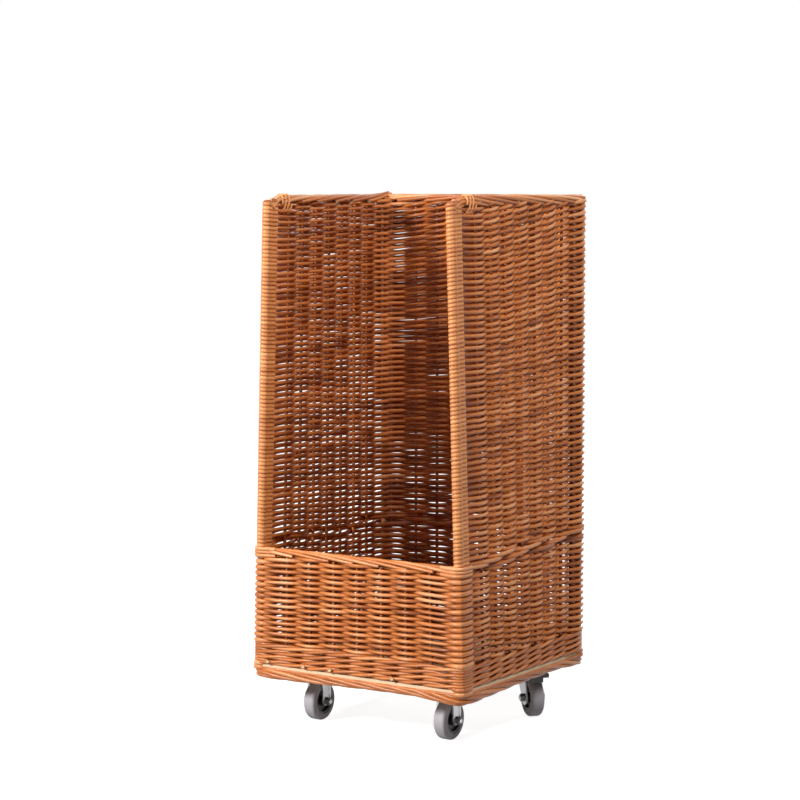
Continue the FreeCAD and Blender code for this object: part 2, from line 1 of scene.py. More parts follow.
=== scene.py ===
# %% [markdown]
# A tall basket on castors, woven from willow. The solids of the basket and its castors are already made and packed,
# so the lesson starts by loading them as a fixed frame. Everything that Blender adds is placed by the boxes of those
# solids, in metres, with the floor at zero. The castors keep most of their solids, because turned and moulded parts
# are right as they are. The woven parts get new meshes, because willow is a soft, uneven thing that plain solids can
# only hint at.

# %% Load the frame
import math
import bmesh
import bpy
import numpy as np
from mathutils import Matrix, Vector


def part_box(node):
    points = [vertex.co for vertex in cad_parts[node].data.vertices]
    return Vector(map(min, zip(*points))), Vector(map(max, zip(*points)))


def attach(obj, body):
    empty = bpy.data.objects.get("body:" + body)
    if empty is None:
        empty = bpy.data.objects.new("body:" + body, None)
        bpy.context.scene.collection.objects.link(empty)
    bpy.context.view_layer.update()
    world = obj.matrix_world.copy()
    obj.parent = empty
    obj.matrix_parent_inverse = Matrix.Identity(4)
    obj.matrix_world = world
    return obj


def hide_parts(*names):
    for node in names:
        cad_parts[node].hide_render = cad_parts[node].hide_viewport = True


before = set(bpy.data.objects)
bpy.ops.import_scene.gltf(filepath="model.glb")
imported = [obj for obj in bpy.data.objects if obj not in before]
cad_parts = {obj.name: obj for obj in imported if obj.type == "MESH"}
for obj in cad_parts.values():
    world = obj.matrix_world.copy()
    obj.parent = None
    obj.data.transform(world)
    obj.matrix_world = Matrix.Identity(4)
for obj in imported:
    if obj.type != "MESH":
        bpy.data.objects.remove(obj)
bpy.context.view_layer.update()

# %% [markdown]
# The walls stand on a rectangle of upright stakes. The side walls twist a little, because the two front posts lean
# in towards the top while the rear posts stand upright. These lines could be measured on the picture again, but
# reading them from the frame keeps the weaving exactly where the solids have it.

# %% Posts and stakes
MM = 0.001
UP = np.array([0.0, 0.0, 1.0])
RIGHT = np.array([1.0, 0.0, 0.0])
BACK = np.array([0.0, 1.0, 0.0])
LEFT = -RIGHT
FRONT = -BACK


def low_corner(node):
    return np.array(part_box(node)[0])


def high_corner(node):
    return np.array(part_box(node)[1])


stake_radius = 2.4 * MM
side_line = -low_corner("left_stakes")[0] - stake_radius
end_line = high_corner("back_stakes")[1] - stake_radius
rear_post = (low_corner("rear_right_post") + high_corner("rear_right_post")) / 2
rear_post_radius = (high_corner("rear_right_post") - low_corner("rear_right_post"))[0] / 2
post_rod_radius = 5.0 * MM
post_low = low_corner("front_right_post")
post_high = high_corner("front_right_post")
front_post_x = post_high[0] - post_rod_radius
front_rod_y = post_low[1] + post_rod_radius
inner_rod_y = post_high[1] - post_rod_radius
post_y = (front_rod_y + inner_rod_y) / 2
post_half_gap = (inner_rod_y - front_rod_y) / 2
print("stake lines:", round(side_line, 4), round(end_line, 4), "front post:", round(front_post_x, 4), round(post_y, 4))

# %% Heights, and the lean of the front posts
board_bottom = low_corner("base_board")[2]
board_top = high_corner("base_board")[2]
rows_bottom = low_corner("left_weave")[2]
wall_top = high_corner("left_weave")[2]
rail_bottom = low_corner("front_rail")[2]
rail_top = high_corner("front_rail")[2]
basket_top = high_corner("left_top_border")[2]
post_head_x = post_low[0] + 2 * post_rod_radius
lean_per_metre = (post_high[0] - post_head_x) / (post_high[2] - board_bottom)


def lean_at(z):
    """How far the front posts have leaned in at a height."""
    return lean_per_metre * (z - board_top)


print("basket top:", round(basket_top, 4), "lean per metre:", round(lean_per_metre, 4))

# %% [markdown]
# Each wall is described by one small function: give it a share of the wall's length and a height, and it returns
# the point on the line of stakes. Each piece could hold its own list of points, but the weaving, the stakes and the
# borders all ask the same functions here, so they cannot drift apart.

# %% Lines of the four walls
side_front_y = low_corner("left_weave")[1]
side_rear_y = high_corner("left_weave")[1]
back_end_x = high_corner("back_weave")[0]
front_end_x = front_post_x - (high_corner("front_post_wraps")[0] - front_post_x)


def side_point(side, share, z):
    """A point of the left (-1) or right (1) wall, from its front end (0) to its rear end (1)."""
    y = side_front_y + (side_rear_y - side_front_y) * share
    lean_share = (rear_post[1] - y) / (rear_post[1] - post_y)
    return np.array([side * (side_line - lean_at(z) * lean_share), y, z])


def back_point(share, z):
    return np.array([back_end_x * (2 * share - 1), end_line, z])


def front_point(share, z):
    return np.array([(front_end_x - lean_at(z)) * (2 * share - 1), -end_line, z])


stakes_per_wall = 7
stake_shares = [(number + 1) / (stakes_per_wall + 1) for number in range(stakes_per_wall)]
print("stakes on each wall:", len(stake_shares))

# %% [markdown]
# A willow rod bends smoothly, so a few guiding points are enough to lay it. A curve object could draw the bend, but
# the rods also need a thickness, a tone and a cut at chosen places, so the line is worked out point by point. It
# leaves each guiding point in the direction that its neighbours suggest.

# %% Smooth lines through a few points
def marked_line(points, step):
    """A smooth line through points, with about a step between its places, and the place of each point on it."""
    points = np.asarray(points, dtype=float)
    gaps = np.linalg.norm(np.diff(points, axis=0), axis=1)
    slopes = np.diff(points, axis=0) / gaps[:, None]
    headings = np.empty_like(points)
    headings[0] = slopes[0]
    headings[-1] = slopes[-1]
    headings[1:-1] = (slopes[:-1] * gaps[1:, None] + slopes[1:] * gaps[:-1, None]) / (gaps[:-1] + gaps[1:])[:, None]
    line = []
    marks = []
    for index, gap in enumerate(gaps):
        marks.append(len(line))
        count = max(2, int(math.ceil(gap / step)))
        for share in np.arange(count) / count:
            square = share * share
            cube = square * share
            line.append(
                points[index] * (2 * cube - 3 * square + 1)
                + headings[index] * gap * (cube - 2 * square + share)
                + points[index + 1] * (3 * square - 2 * cube)
                + headings[index + 1] * gap * (cube - square)
            )
    marks.append(len(line))
    line.append(points[-1])
    return np.array(line), marks


def smooth_line(points, step):
    return marked_line(points, step)[0]


bend = smooth_line([RIGHT, (RIGHT + BACK) * math.sqrt(0.5), BACK], 0.05)
print("a quarter turn through three points has", len(bend), "places")

# %% Steps, headings and lengths of a line
def evenly(first, last, count):
    """Points at equal steps from one place to another."""
    return [first + (last - first) * share for share in np.linspace(0, 1, count)]


def directions(line):
    """The unit heading at each point of a line."""
    headings = np.gradient(line, axis=0)
    return headings / np.linalg.norm(headings, axis=1)[:, None]


def lengths(line):
    """The running length at each point of a line."""
    return np.concatenate([[0.0], np.cumsum(np.linalg.norm(np.diff(line, axis=0), axis=1))])


print("the quarter turn is", round(lengths(bend)[-1], 4), "long and ends heading", directions(bend)[-1].round(2))

# %% [markdown]
# A willow rod is a long round stick that tapers and is cut clean at its ends. It could be a curve with a bevel, but
# thousands of curves are slow, so all the rods of one wall are gathered into one mesh. A rod starts as a ring of
# points round each place of its line. Rings on a level rod start at its top, so that the grain doesn't twist.

# %% Rings round a line
steep = 0.8


def ring_turns(sides):
    """The angles of the points of one ring."""
    return np.arange(sides) * 2 * math.pi / sides


def rings(line, headings, radii, sides):
    """A ring of points round each place of a line. On a steep rod each ring follows from the one before."""
    level = np.abs(headings[:, 2]).max() < steep
    across = UP if abs(headings[0][2]) < steep else RIGHT
    turns = ring_turns(sides)
    places = []
    for place, heading, radius in zip(line, headings, radii):
        across = UP if level else across
        across = across - heading * np.dot(across, heading)
        across = across / np.linalg.norm(across)
        beside = np.cross(heading, across)
        places.append(place + radius * (np.outer(np.cos(turns), across) + np.outer(np.sin(turns), beside)))
    return np.array(places)


sample = rings(bend, directions(bend), np.ones(len(bend)), 7)
print("rings, points in each, numbers in a point:", sample.shape)

# %% [markdown]
# Every point of the gathered mesh also remembers three things for the finish: the tone of its rod, its place along
# and round the rod for the grain, and whether it lies on a cut end. One colour for a whole wall would be simpler, but
# no two willow rods look alike. A strip of the texture map is kept for each rod, because an automatic map of so many
# thin tubes would be slow and wasteful.

# %% Grain and texture map of one rod
grain_per_metre = 60
grain_slide = 7
strip_margin = 0.25


def rod_grain(along, turns, shift):
    """Places in the grain, along and round a rod. The shift gives each rod a grain of its own."""
    grain = np.empty((len(along), len(turns), 3))
    grain[:, :, 0] = along[:, None] * grain_per_metre + shift * grain_slide
    grain[:, :, 1] = np.cos(turns)[None, :] + shift
    grain[:, :, 2] = np.sin(turns)[None, :]
    return grain.reshape(-1, 3)


def rod_map(along, ring, side, sides, strip_rings, first_strip):
    """Places of a rod's faces on strips of the texture map, each one high, and how many strips it takes."""
    strip = ring // strip_rings
    start = along[strip * strip_rings]
    u_low = along[ring] - start
    u_high = along[ring + 1] - start
    v_low = first_strip + strip + (side + strip_margin) / (sides + 2 * strip_margin)
    v_high = first_strip + strip + (side + 1 + strip_margin) / (sides + 2 * strip_margin)
    places = np.stack([u_low, v_low, u_low, v_high, u_high, v_high, u_high, v_low], axis=1)
    return places.reshape(-1, 2), int(strip.max()) + 1


print("places in the grain of the bend:", rod_grain(lengths(bend), ring_turns(7), 0.0).shape)

# %% Gather rods
grain_shift = 0.37
grain_cycle = 50.0
cut_grain = 2
cut_map_radius = 2 * MM
cut_map_middle = 3 * MM
cut_map_half_strip = 0.4


class Rods:
    """Round rods gathered for one mesh, with the tone, grain and cut ends that the willow finish reads."""

    def __init__(self, sides=7):
        self.sides = sides
        self.turns = ring_turns(sides)
        self.kept = {name: [] for name in ("points", "tones", "grains", "cuts", "corners", "sizes", "smooth", "map")}
        self.count = 0
        self.strips = 0
        self.longest = 0.0

    def keep(self, **arrays):
        """Keeps some points with their faces, whose corners are counted from the first of these points."""
        arrays["corners"] = arrays["corners"] + self.count
        for name, array in arrays.items():
            self.kept[name].append(array)
        self.count += len(arrays["points"])

    def every(self, name):
        return np.concatenate(self.kept[name])

    def add(self, line, radii, tone, ends=(1, 1), strip_rings=None, headings=None):
        """Adds one rod. An end is open (0), cut to show the pale wood (1), or cut and darkened (a share)."""
        line = np.asarray(line)
        total = len(line)
        tone = np.broadcast_to(tone, total)
        headings = directions(line) if headings is None else headings
        places = rings(line, headings, np.broadcast_to(radii, total), self.sides)
        along = lengths(line)
        ring, side = [index.ravel() for index in np.indices((total - 1, self.sides))]
        beside = (side + 1) % self.sides
        low = ring * self.sides
        high = low + self.sides
        quads = np.stack([low + side, low + beside, high + beside, high + side], axis=1)
        spots, strips = rod_map(along, ring, side, self.sides, strip_rings or total, self.strips)
        self.keep(
            points=places.reshape(-1, 3),
            tones=np.repeat(tone, self.sides),
            grains=rod_grain(along, self.turns, (self.strips * grain_shift) % grain_cycle),
            cuts=np.zeros(total * self.sides),
            corners=quads.ravel(),
            sizes=np.full(len(quads), 4),
            smooth=np.ones(len(quads), dtype=bool),
            map=spots,
        )
        self.longest = max(self.longest, float(spots[:, 0].max()))
        self.strips += strips
        for cut, place in ((ends[0], places[0][::-1]), (ends[1], places[-1])):
            if cut:
                self.cap(place, tone[0], cut)

    def cap(self, place, tone, cut):
        """Closes one end of a rod with a flat face."""
        across, beside = np.cos(self.turns), np.sin(self.turns)
        self.keep(
            points=place,
            tones=np.full(self.sides, tone),
            grains=np.stack([across, beside, np.zeros(self.sides)], axis=1) * cut_grain + self.strips,
            cuts=np.full(self.sides, float(cut)),
            corners=np.arange(self.sides),
            sizes=np.array([self.sides]),
            smooth=np.zeros(1, dtype=bool),
            map=np.stack([
                across * cut_map_radius + cut_map_middle,
                cut_map_half_strip * beside + 0.5 + self.strips,
            ], axis=1),
        )
        self.strips += 1


trial = Rods()
trial.add(bend, 0.1, 0.5)
print("a trial rod has", trial.count, "points and", trial.strips, "strips of the map")

# %% [markdown]
# The gathered arrays go into a mesh in a few long calls. Adding the faces one by one would be easier to read, but
# there are hundreds of thousands of them. The new piece rides on the basket and takes the place of the solids that
# it shows in more detail.

# %% Turn gathered rods into a piece
map_room = 1.02


def linked(name, data):
    """A new object, linked into the scene."""
    thing = bpy.data.objects.new(name, data)
    bpy.context.scene.collection.objects.link(thing)
    return thing


def rod_mesh(name, rods):
    mesh = bpy.data.meshes.new(name)
    corners = rods.every("corners").astype(np.int32)
    sizes = rods.every("sizes").astype(np.int32)
    mesh.vertices.add(rods.count)
    mesh.vertices.foreach_set("co", rods.every("points").ravel())
    mesh.loops.add(len(corners))
    mesh.loops.foreach_set("vertex_index", corners)
    mesh.polygons.add(len(sizes))
    mesh.polygons.foreach_set("loop_start", np.concatenate([[0], np.cumsum(sizes)[:-1]]).astype(np.int32))
    mesh.polygons.foreach_set("use_smooth", rods.every("smooth"))
    mesh.update(calc_edges=True)
    for label, kind, field in (
        ("tone", "FLOAT", "value"),
        ("cut", "FLOAT", "value"),
        ("grain", "FLOAT_VECTOR", "vector"),
    ):
        layer = mesh.attributes.new(label, kind, "POINT")
        layer.data.foreach_set(field, rods.every(label + "s").ravel())
    layout = rods.every("map") / np.array([rods.longest * map_room, rods.strips])
    mesh.uv_layers.new(name="OFBake").data.foreach_set("uv", layout.ravel())
    mesh.validate()
    return mesh


def rod_piece(rods, name, finish, nodes):
    mesh = rod_mesh(name, rods)
    mesh.materials.append(finish)
    piece = linked(name, mesh)
    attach(piece, "basket")
    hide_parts(*nodes)
    print(name, "strips:", rods.strips, "faces:", len(mesh.polygons))


trial_mesh = rod_mesh("trial", trial)
print("the trial rod has", len(trial_mesh.polygons), "faces")
bpy.data.meshes.remove(trial_mesh)

# %% [markdown]
# Materials are written as small formulas. They could be wired node by node, but that hides what is worked out. The
# class below wraps one socket of a node tree, so that adding or multiplying two of them adds the Math node that does
# it. Any other node comes from its one node method.

# %% Shader formulas
class Shade:
    """One socket of a material, for use in Python expressions."""

    def __init__(self, tree, socket=None):
        self.tree = tree
        self.socket = socket

    def plug(self, place, value):
        if isinstance(value, Shade):
            self.tree.links.new(value.socket, place)
        else:
            place.default_value = value

    def node(self, kind, settings=None, sockets=None, output=None):
        """Adds a node, sets it, fills its sockets, and returns the output that is named, or else the first."""
        made = self.tree.nodes.new("ShaderNode" + kind)
        for name, value in (settings or {}).items():
            if name == "stops":
                ramp = made.color_ramp
                while len(ramp.elements) < len(value):
                    ramp.elements.new(0.5)
                for element, (position, colour) in zip(ramp.elements, value):
                    element.position = position
                    element.color = colour
            else:
                setattr(made, name, value)
        for name, value in (sockets or {}).items():
            matches = [place for place in made.inputs if name in (place.identifier, place.name)]
            self.plug(matches[0], value)
        outlets = [place for place in made.outputs if output in (place.identifier, place.name)]
        return Shade(self.tree, (outlets or list(made.outputs) or [None])[0])

    def math(self, operation, first, second):
        return self.node("Math", {"operation": operation}, {"Value": first, "Value_001": second})

    def __add__(self, other):
        return self.math("ADD", self, other)

    def __radd__(self, other):
        return self.math("ADD", other, self)

    def __sub__(self, other):
        return self.math("SUBTRACT", self, other)

    def __rsub__(self, other):
        return self.math("SUBTRACT", other, self)

    def __mul__(self, other):
        return self.math("MULTIPLY", self, other)

    def __rmul__(self, other):
        return self.math("MULTIPLY", other, self)

    def mix(self, first, second):
        """A colour between two, by this share."""
        sockets = {"Factor_Float": self, "A_Color": first, "B_Color": second}
        return self.node("Mix", {"data_type": "RGBA"}, sockets, "Result_Color")


print("a formula can use:", [name for name, member in vars(Shade).items() if callable(member)])

# %% Colours and surfaces
def colour(red, green, blue):
    """A colour as it is read on a screen, from 0 to 255, turned into the linear values that Blender works in."""
    shares = [level / 255 for level in (red, green, blue)]
    linear = [share / 12.92 if share <= 0.04045 else ((share + 0.055) / 1.055) ** 2.4 for share in shares]
    return (*linear, 1.0)


def new_finish(name):
    """An empty material, and a shade to add its nodes with."""
    finish = bpy.data.materials.new(name)
    finish.use_nodes = True
    finish.node_tree.nodes.clear()
    return finish, Shade(finish.node_tree)


def surface(shade, **sockets):
    """Ends a material with one shader. A socket's name is written with _ for each space."""
    named = {name.replace("_", " "): value for name, value in sockets.items()}
    skin = shade.node("BsdfPrincipled", {}, named)
    shade.node("OutputMaterial", {}, {"Surface": skin})


print("middle grey in linear values:", [round(value, 3) for value in colour(128, 128, 128)])

# %% [markdown]
# Willow is pale inside and warm orange-brown outside, and no two rods have quite the same colour. A photograph of
# willow could be laid over the rods, but it would repeat. So the tone of each rod picks a colour from a ramp, the
# grain adds fine streaks along the rod, and the cut ends show the pale wood. Skein is split willow, a shade lighter
# and a little duller. Where it is wound in close turns, shade is painted into its colour: it falls off towards both
# edges of the strip, for the shadow in the hollow between two turns.

# %% Willow finishes
streak_depth = 0.55
fibre_depth = 0.25


def willow_finish(name, dark, middle, light, rough, groove_shade=0.0):
    finish, shade = new_finish(name)
    tone = shade.node("Attribute", {"attribute_name": "tone"}, {}, "Fac")
    cut = shade.node("Attribute", {"attribute_name": "cut"}, {}, "Fac")
    grain = shade.node("Attribute", {"attribute_name": "grain"}, {}, "Vector")
    streaks = shade.node("TexNoise", {}, {"Vector": grain, "Scale": 2.2, "Detail": 4.0, "Roughness": 0.6}, "Fac")
    fibres = shade.node("TexNoise", {}, {"Vector": grain, "Scale": 7.0, "Detail": 2.0}, "Fac")
    shading = tone + (streaks - 0.5) * streak_depth + (fibres - 0.5) * fibre_depth
    # painted shade: the colour darkens towards both edges of a wound strip, for the hollow between two turns
    if groove_shade:
        outward = shade.node("SeparateXYZ", {}, {"Vector": grain}, "Z")
        crown = shade.math("MINIMUM", shade.math("ABSOLUTE", outward, 0.0), 1.0)
        shading = shading - (1 - crown) * groove_shade
    stops = [(0.0, dark), (0.45, middle), (1.0, light)]
    bark = shade.node("ValToRGB", {"stops": stops}, {"Fac": shading}, "Color")
    wood = streaks.mix(colour(226, 190, 142), colour(248, 222, 180))
    bump = shade.node("Bump", {}, {"Strength": 0.25, "Distance": 0.0004, "Height": fibres * 0.6 + streaks * 0.4})
    roughness = rough + (streaks - 0.5) * 0.3
    surface(shade, Base_Color=cut.mix(bark, wood), Roughness=roughness, Normal=bump, Specular_IOR_Level=0.36)
    return finish


willow = willow_finish("willow_rods", colour(112, 46, 9), colour(202, 119, 57), colour(248, 192, 140), 0.34)
skein_colours = (colour(156, 84, 37), colour(230, 151, 89), colour(250, 192, 138))
skein = willow_finish("willow_skein", *skein_colours, 0.4)
wound_skein = willow_finish("wound_skein", *skein_colours, 0.4, 2.6)
print("willow finishes:", willow.name, skein.name, wound_skein.name)

# %% [markdown]
# The weaving is randing: each rod passes outside one stake and inside the next, and the row above does the opposite.
# Real rows are not level. They settle unevenly, and on the sides they climb towards the rear, more so near the top.
# Moving each row by chance would open holes, so a smooth field of small waves moves neighbouring rows together, and
# they still lie on each other.

# %% Uneven rows
rear_climbs = {-1: 8 * MM, 1: 60 * MM}
climb_start_share = 0.15
climb_bend = 1.3
wave_height = 0.45 * MM
wave_shapes = [(1.0, 41, 33, 52), (0.7, 23, -27, 35), (0.5, 13, 12, -19)]
chance = np.random.default_rng(7)
wave_turns = chance.uniform(0, 2 * math.pi, 6)  # three to spare: another wave would leave the later draws as they are


def settle(place):
    """How far a weaver has settled at a place. Each wave has a share and three lengths in millimetres."""
    x, y, z = place / MM
    waves = 0.0
    for (share, x_length, y_length, z_length), turn in zip(wave_shapes, wave_turns):
        waves += share * math.sin(x / x_length + y / y_length + z / z_length + turn)
    return wave_height * waves


def climb(side, share, z):
    """How far a row has climbed on the left (-1) or right (1) wall."""
    height_share = max(0.0, (z - rows_bottom) / (wall_top - rows_bottom))
    rear_share = max(0.0, share - climb_start_share) / (1 - climb_start_share)
    return rear_climbs[side] * height_share * rear_share ** climb_bend


print("climb of the top row at the rear:", [round(climb(side, 1.0, wall_top), 4) for side in (-1, 1)])

# %% [markdown]
# A green willow rod is soft. Where it is bent hard round a post, it is pressed flat and lies a little wider, so the
# turns at the corners close up. Thinner posts would give the same look, but then the wall would no longer fit them.

# %% Weavers pressed flat round the posts
press_length = 12 * MM
press_share = 0.52
press_fall = 4


def pressed(line):
    """How much wider a weaver lies at each place of its line."""
    across = np.abs(line[:, 0])
    beyond = np.maximum(0, np.abs(line[:, 1] - post_y) - post_half_gap)
    from_front = np.hypot(across - front_post_x + lean_at(line[:, 2]), beyond)
    from_rear = np.hypot(across - rear_post[0], line[:, 1] - rear_post[1])
    nearest = np.minimum(from_front, from_rear - rear_post_radius + post_rod_radius)
    return 1 + press_share * np.exp(-((nearest / press_length) ** press_fall))


print("width in the middle of the back:", pressed(np.array([back_point(0.5, wall_top)])).round(3))

# %% [markdown]
# To lay a row, it is enough to know what it passes: the stakes of each wall, with the way that is outward
# there, and the corner posts. A spiral up the basket would be closer to the work of the hands, but closed rows are
# easier to follow and look the same.

# %% Stakes and posts that a row passes
round_corner_share = 0.05
outside_turns = (0, 45, 90)
inside_turns = (205, 225, 245)
outside_post = [(-0.2, front_rod_y, -1.0), (0.7, front_rod_y, -0.7), (1.0, front_rod_y, 0.3), (1.0, inner_rod_y, 0.0)]
inside_post = [(-1.5, front_rod_y, 0.2), (-1.05, front_rod_y, 1.2), (-0.9, inner_rod_y, 0.3), (-0.3, inner_rod_y, 1.0)]


def side_stakes(side, z):
    return [(side_point(side, share, z) + UP * climb(side, share, z), RIGHT * side) for share in stake_shares]


def back_stakes(z):
    stakes = []
    for share in stake_shares:
        lift = climb(-1, 1.0, z) * (1 - share) + climb(1, 1.0, z) * share
        stakes.append((back_point(share, z) + UP * lift, BACK))
    return stakes


def front_stakes(z):
    return [(front_point(share, z), FRONT) for share in stake_shares]


def rear_corner(side, z, passing, reach):
    """Points of a weaver round a rear post, outside or inside it."""
    middle = np.array([side * rear_post[0], rear_post[1], z])
    points = []
    for turn in outside_turns if passing > 0 else inside_turns:
        angle = math.radians(turn)
        lift = climb(side, 1.0 + round_corner_share * (turn % 180 / 90 - 0.5), z)
        points.append(middle + UP * lift + reach * np.array([side * math.cos(angle), math.sin(angle), 0.0]))
    return points


def front_corner(side, z, passing, reach):
    """Points of a weaver round a front post. The tables above hold shares of its reach from one of the two rods."""
    x = front_post_x - lean_at(z)
    turn = outside_post if passing > 0 else inside_post
    return [np.array([side * (x + across * reach), rod_y + along * reach, z]) for across, rod_y, along in turn]


print("stakes in a full round:", len(side_stakes(-1, wall_top) + back_stakes(wall_top)) * 2)

# %% [markdown]
# A row above the front rail runs from one front post round the back to the other. A row below it goes all the way
# round. It could start at a corner, but it starts and ends in the middle of the front, and laps over itself there, so
# that its line has no kink where the ends meet.

# %% The points of one row
front_reach = post_rod_radius - 0.4 * MM
rear_reach = rear_post_radius + 2.6 * MM


def row_points(z, low, passing_at, radius, unevenness=0.0):
    """Points of a row, the number of the stake or post at each, and the points where it turns the corners.
    A low row goes all the way round and passes its first and last two stakes twice, to be joined there."""
    points = []
    numbers = []
    turns = {}
    count = -1 if low else 0

    def passing(places, corner=None, middle=0):
        nonlocal count
        if corner:
            turns[corner] = len(points) + middle
        points.extend(places)
        numbers.extend([count] * len(places))
        count += 1

    def uneven(places):
        return [(place + UP * chance.normal(0, 1) * unevenness, outward) for place, outward in places]

    def stakes(places):
        for place, outward in places:
            passing([place + outward * passing_at(count) * (stake_radius + radius)])

    def end_post(side):
        passing([np.array([side * (front_post_x - lean_at(z)), inner_rod_y, z])])

    front = uneven(front_stakes(z))
    centre = stakes_per_wall // 2
    if low:
        stakes(front[centre + 1::-1])
        passing(front_corner(-1, z, passing_at(count), front_reach), "front_left", 1)
    else:
        end_post(-1)
    stakes(uneven(side_stakes(-1, z)))
    passing(rear_corner(-1, z, passing_at(count), rear_reach), "rear_left", 1)
    stakes(uneven(back_stakes(z)))
    passing(rear_corner(1, z, passing_at(count), rear_reach)[::-1], "rear_right", 1)
    stakes(uneven(side_stakes(1, z)[::-1]))
    if low:
        passing(front_corner(1, z, passing_at(count), front_reach)[::-1], "front_right", 2)
        stakes(front[:centre - 2:-1])
    else:
        end_post(1)
    return [place + UP * settle(place) for place in points], numbers, turns


print("reach round the posts:", round(front_reach, 4), round(rear_reach, 4))

# %% The line of one row
ring_step = 6.0 * MM


def row_line(points, turns, low):
    """The smooth line of a row, its headings, the place of each point, and the places where it turns the corners."""
    line, marks = marked_line(points, ring_step)
    first, last = (marks[1], marks[-2]) if low else (0, marks[-1])
    marks = np.array(marks) - first
    corners = {name: int(marks[index]) for name, index in turns.items()}
    return line[first:last + 1], directions(line)[first:last + 1], marks, corners


def wall_spans(corners, last):
    """The first and last place of a row's line on each wall."""
    left_from = corners.get("front_left", 0)
    right_to = corners.get("front_right", last)
    spans = [
        ("left", left_from, corners["rear_left"]),
        ("back", corners["rear_left"], corners["rear_right"]),
        ("right", corners["rear_right"], right_to),
    ]
    if left_from > 0:
        spans += [("front", 0, left_from), ("front", right_to, last)]
    return spans


print("a row of 15 places with its corners at 3 and 9:", wall_spans({"rear_left": 3, "rear_right": 9}, 14))

# %% [markdown]
# A long wall needs many rods for one row, so a rod ends on the inside of a stake and the next one starts there.
# The two ends lift away from the wall and show their cut wood. Splices could be set by hand, but there are hundreds,
# so chance picks them among the places where the row is innermost. A row that would climb past the border stops there.

# %% Splices, and rows that stop at the border
shortest_stretch = 4
splice_margin = 8
splice_distance = 12
splice_chance = 0.07


def below(line, start, stop, ceiling):
    """The unbroken stretches of part of a line that stay below a height."""
    stretches = []
    first = None
    for index in range(start, stop + 2):
        low_enough = index <= stop and line[index][2] < ceiling
        if low_enough and first is None:
            first = index
        if not low_enough and first is not None:
            if index - first > shortest_stretch:
                stretches.append((first, index - 1))
            first = None
    return stretches


def splices(line, first, last, inward):
    """Places on the inside of the wall where one rod ends and the next begins."""
    depth = line @ inward
    places = [first]
    for index in range(first + splice_margin, last - splice_margin):
        innermost = depth[index] == depth[index - 2:index + 3].max()
        if innermost and index - places[-1] > splice_distance and chance.random() < splice_chance:
            places.append(index + 1)
    return places + [last]


print("a level bend stays below a ceiling from first to last place:", below(bend, 0, len(bend) - 1, 1.0))

# %% One row of weaving
inward_of = {"left": RIGHT, "right": LEFT, "back": FRONT, "front": BACK}
pass_unevenness = 0.3 * MM
knots_in_row = 12
thickness_range = (0.9, 1.08)
weaver_tone = (0.5, 0.1)
row_tone_spread = 0.06
inner_shade = 0.32
end_lift = np.array([2.6, 1.5, 0.6])[:, None] * MM


def spread(values, count):
    """A few values spread over the places of a row, so that it ends as it began."""
    full = 2 * math.pi
    return np.interp(np.linspace(0, full, count), np.linspace(0, full, len(values)), values, period=full)


def lay_row(walls, z, low, passing_at, radius, ceiling):
    """Adds one row to the rods of every wall that it crosses."""
    points, numbers, turns = row_points(z, low, passing_at, radius, pass_unevenness)
    line, headings, marks, corners = row_line(points, turns, low)
    outside = np.interp(np.arange(len(line)), marks, [passing_at(number) for number in numbers])
    radii = radius * spread(chance.uniform(*thickness_range, knots_in_row), len(line)) * pressed(line)
    tones = spread(chance.normal(*weaver_tone, knots_in_row), len(line)) + chance.normal(0, row_tone_spread)
    # painted shade: the passes on the inner side of the wall are made darker
    tones -= inner_shade * (1 - outside) / 2
    for wall, start, stop in wall_spans(corners, len(line) - 1):
        inward = inward_of[wall]
        for first, last in below(line, start, stop, ceiling):
            cuts = splices(line, first, last, inward)
            for begin, end in zip(cuts[:-1], cuts[1:]):
                span = slice(begin, end + 1)
                part = line[span].copy()
                ends = (begin != first, end != last)
                if ends[0]:
                    part[:len(end_lift)] += end_lift * inward
                if ends[1]:
                    part[-len(end_lift):] += end_lift[::-1] * inward
                walls[wall].add(part, radii[span], tones[span], ends, headings=headings[span])


print("a spliced end lifts by:", end_lift.ravel())

# %% [markdown]
# Most of the wall is plain weave. Level with the front rail, four rows of thicker rods pass outside two stakes and
# inside one. They bind the wall there and show as a slanting band round the basket.

# %% Lay the rows into the walls
weaver_radius = 2.5 * MM
row_pitch = 3.95 * MM
band_rows = 4
band_radius = weaver_radius * 1.14
band_bottom = rail_bottom + 2 * MM
band_top = band_bottom + band_rows * row_pitch
row_ceiling = basket_top - 8 * MM


def plain_weave(shift):
    return lambda number: 1 if (number + shift) % 2 == 0 else -1


def band_weave(shift):
    return lambda number: -1 if (number + shift) % 3 == 0 else 1


walls = {wall: Rods() for wall in inward_of}
for row, z in enumerate(np.arange(rows_bottom + row_pitch / 2, row_ceiling, row_pitch)):
    in_band = band_bottom < z < band_top
    weave = band_weave(row) if in_band else plain_weave(row)
    lay_row(walls, z, z < rail_bottom, weave, band_radius if in_band else weaver_radius, row_ceiling)
for wall, rods in walls.items():
    replaced = [wall + "_weave"] + (["rear_corner_weaves"] if wall == "back" else [])
    rod_piece(rods, wall + "_weaving", willow, replaced)

# %% [markdown]
# Stakes are the straight rods that carry the wall. They are a little thicker at the foot, and darker than the
# weavers: shade is painted into their tone, because they stand in the weavers' shade. The solids could be kept, but
# only rods of the gathered kind have the grain and the tones of the weaving round them.

# %% Stakes
stake_taper = (1.02, 0.9)
# painted shade: the low mean tone darkens the stakes; the spread is the rods' own tone
stake_tone_and_shade = (0.24, 0.1)
stake_rings = 24


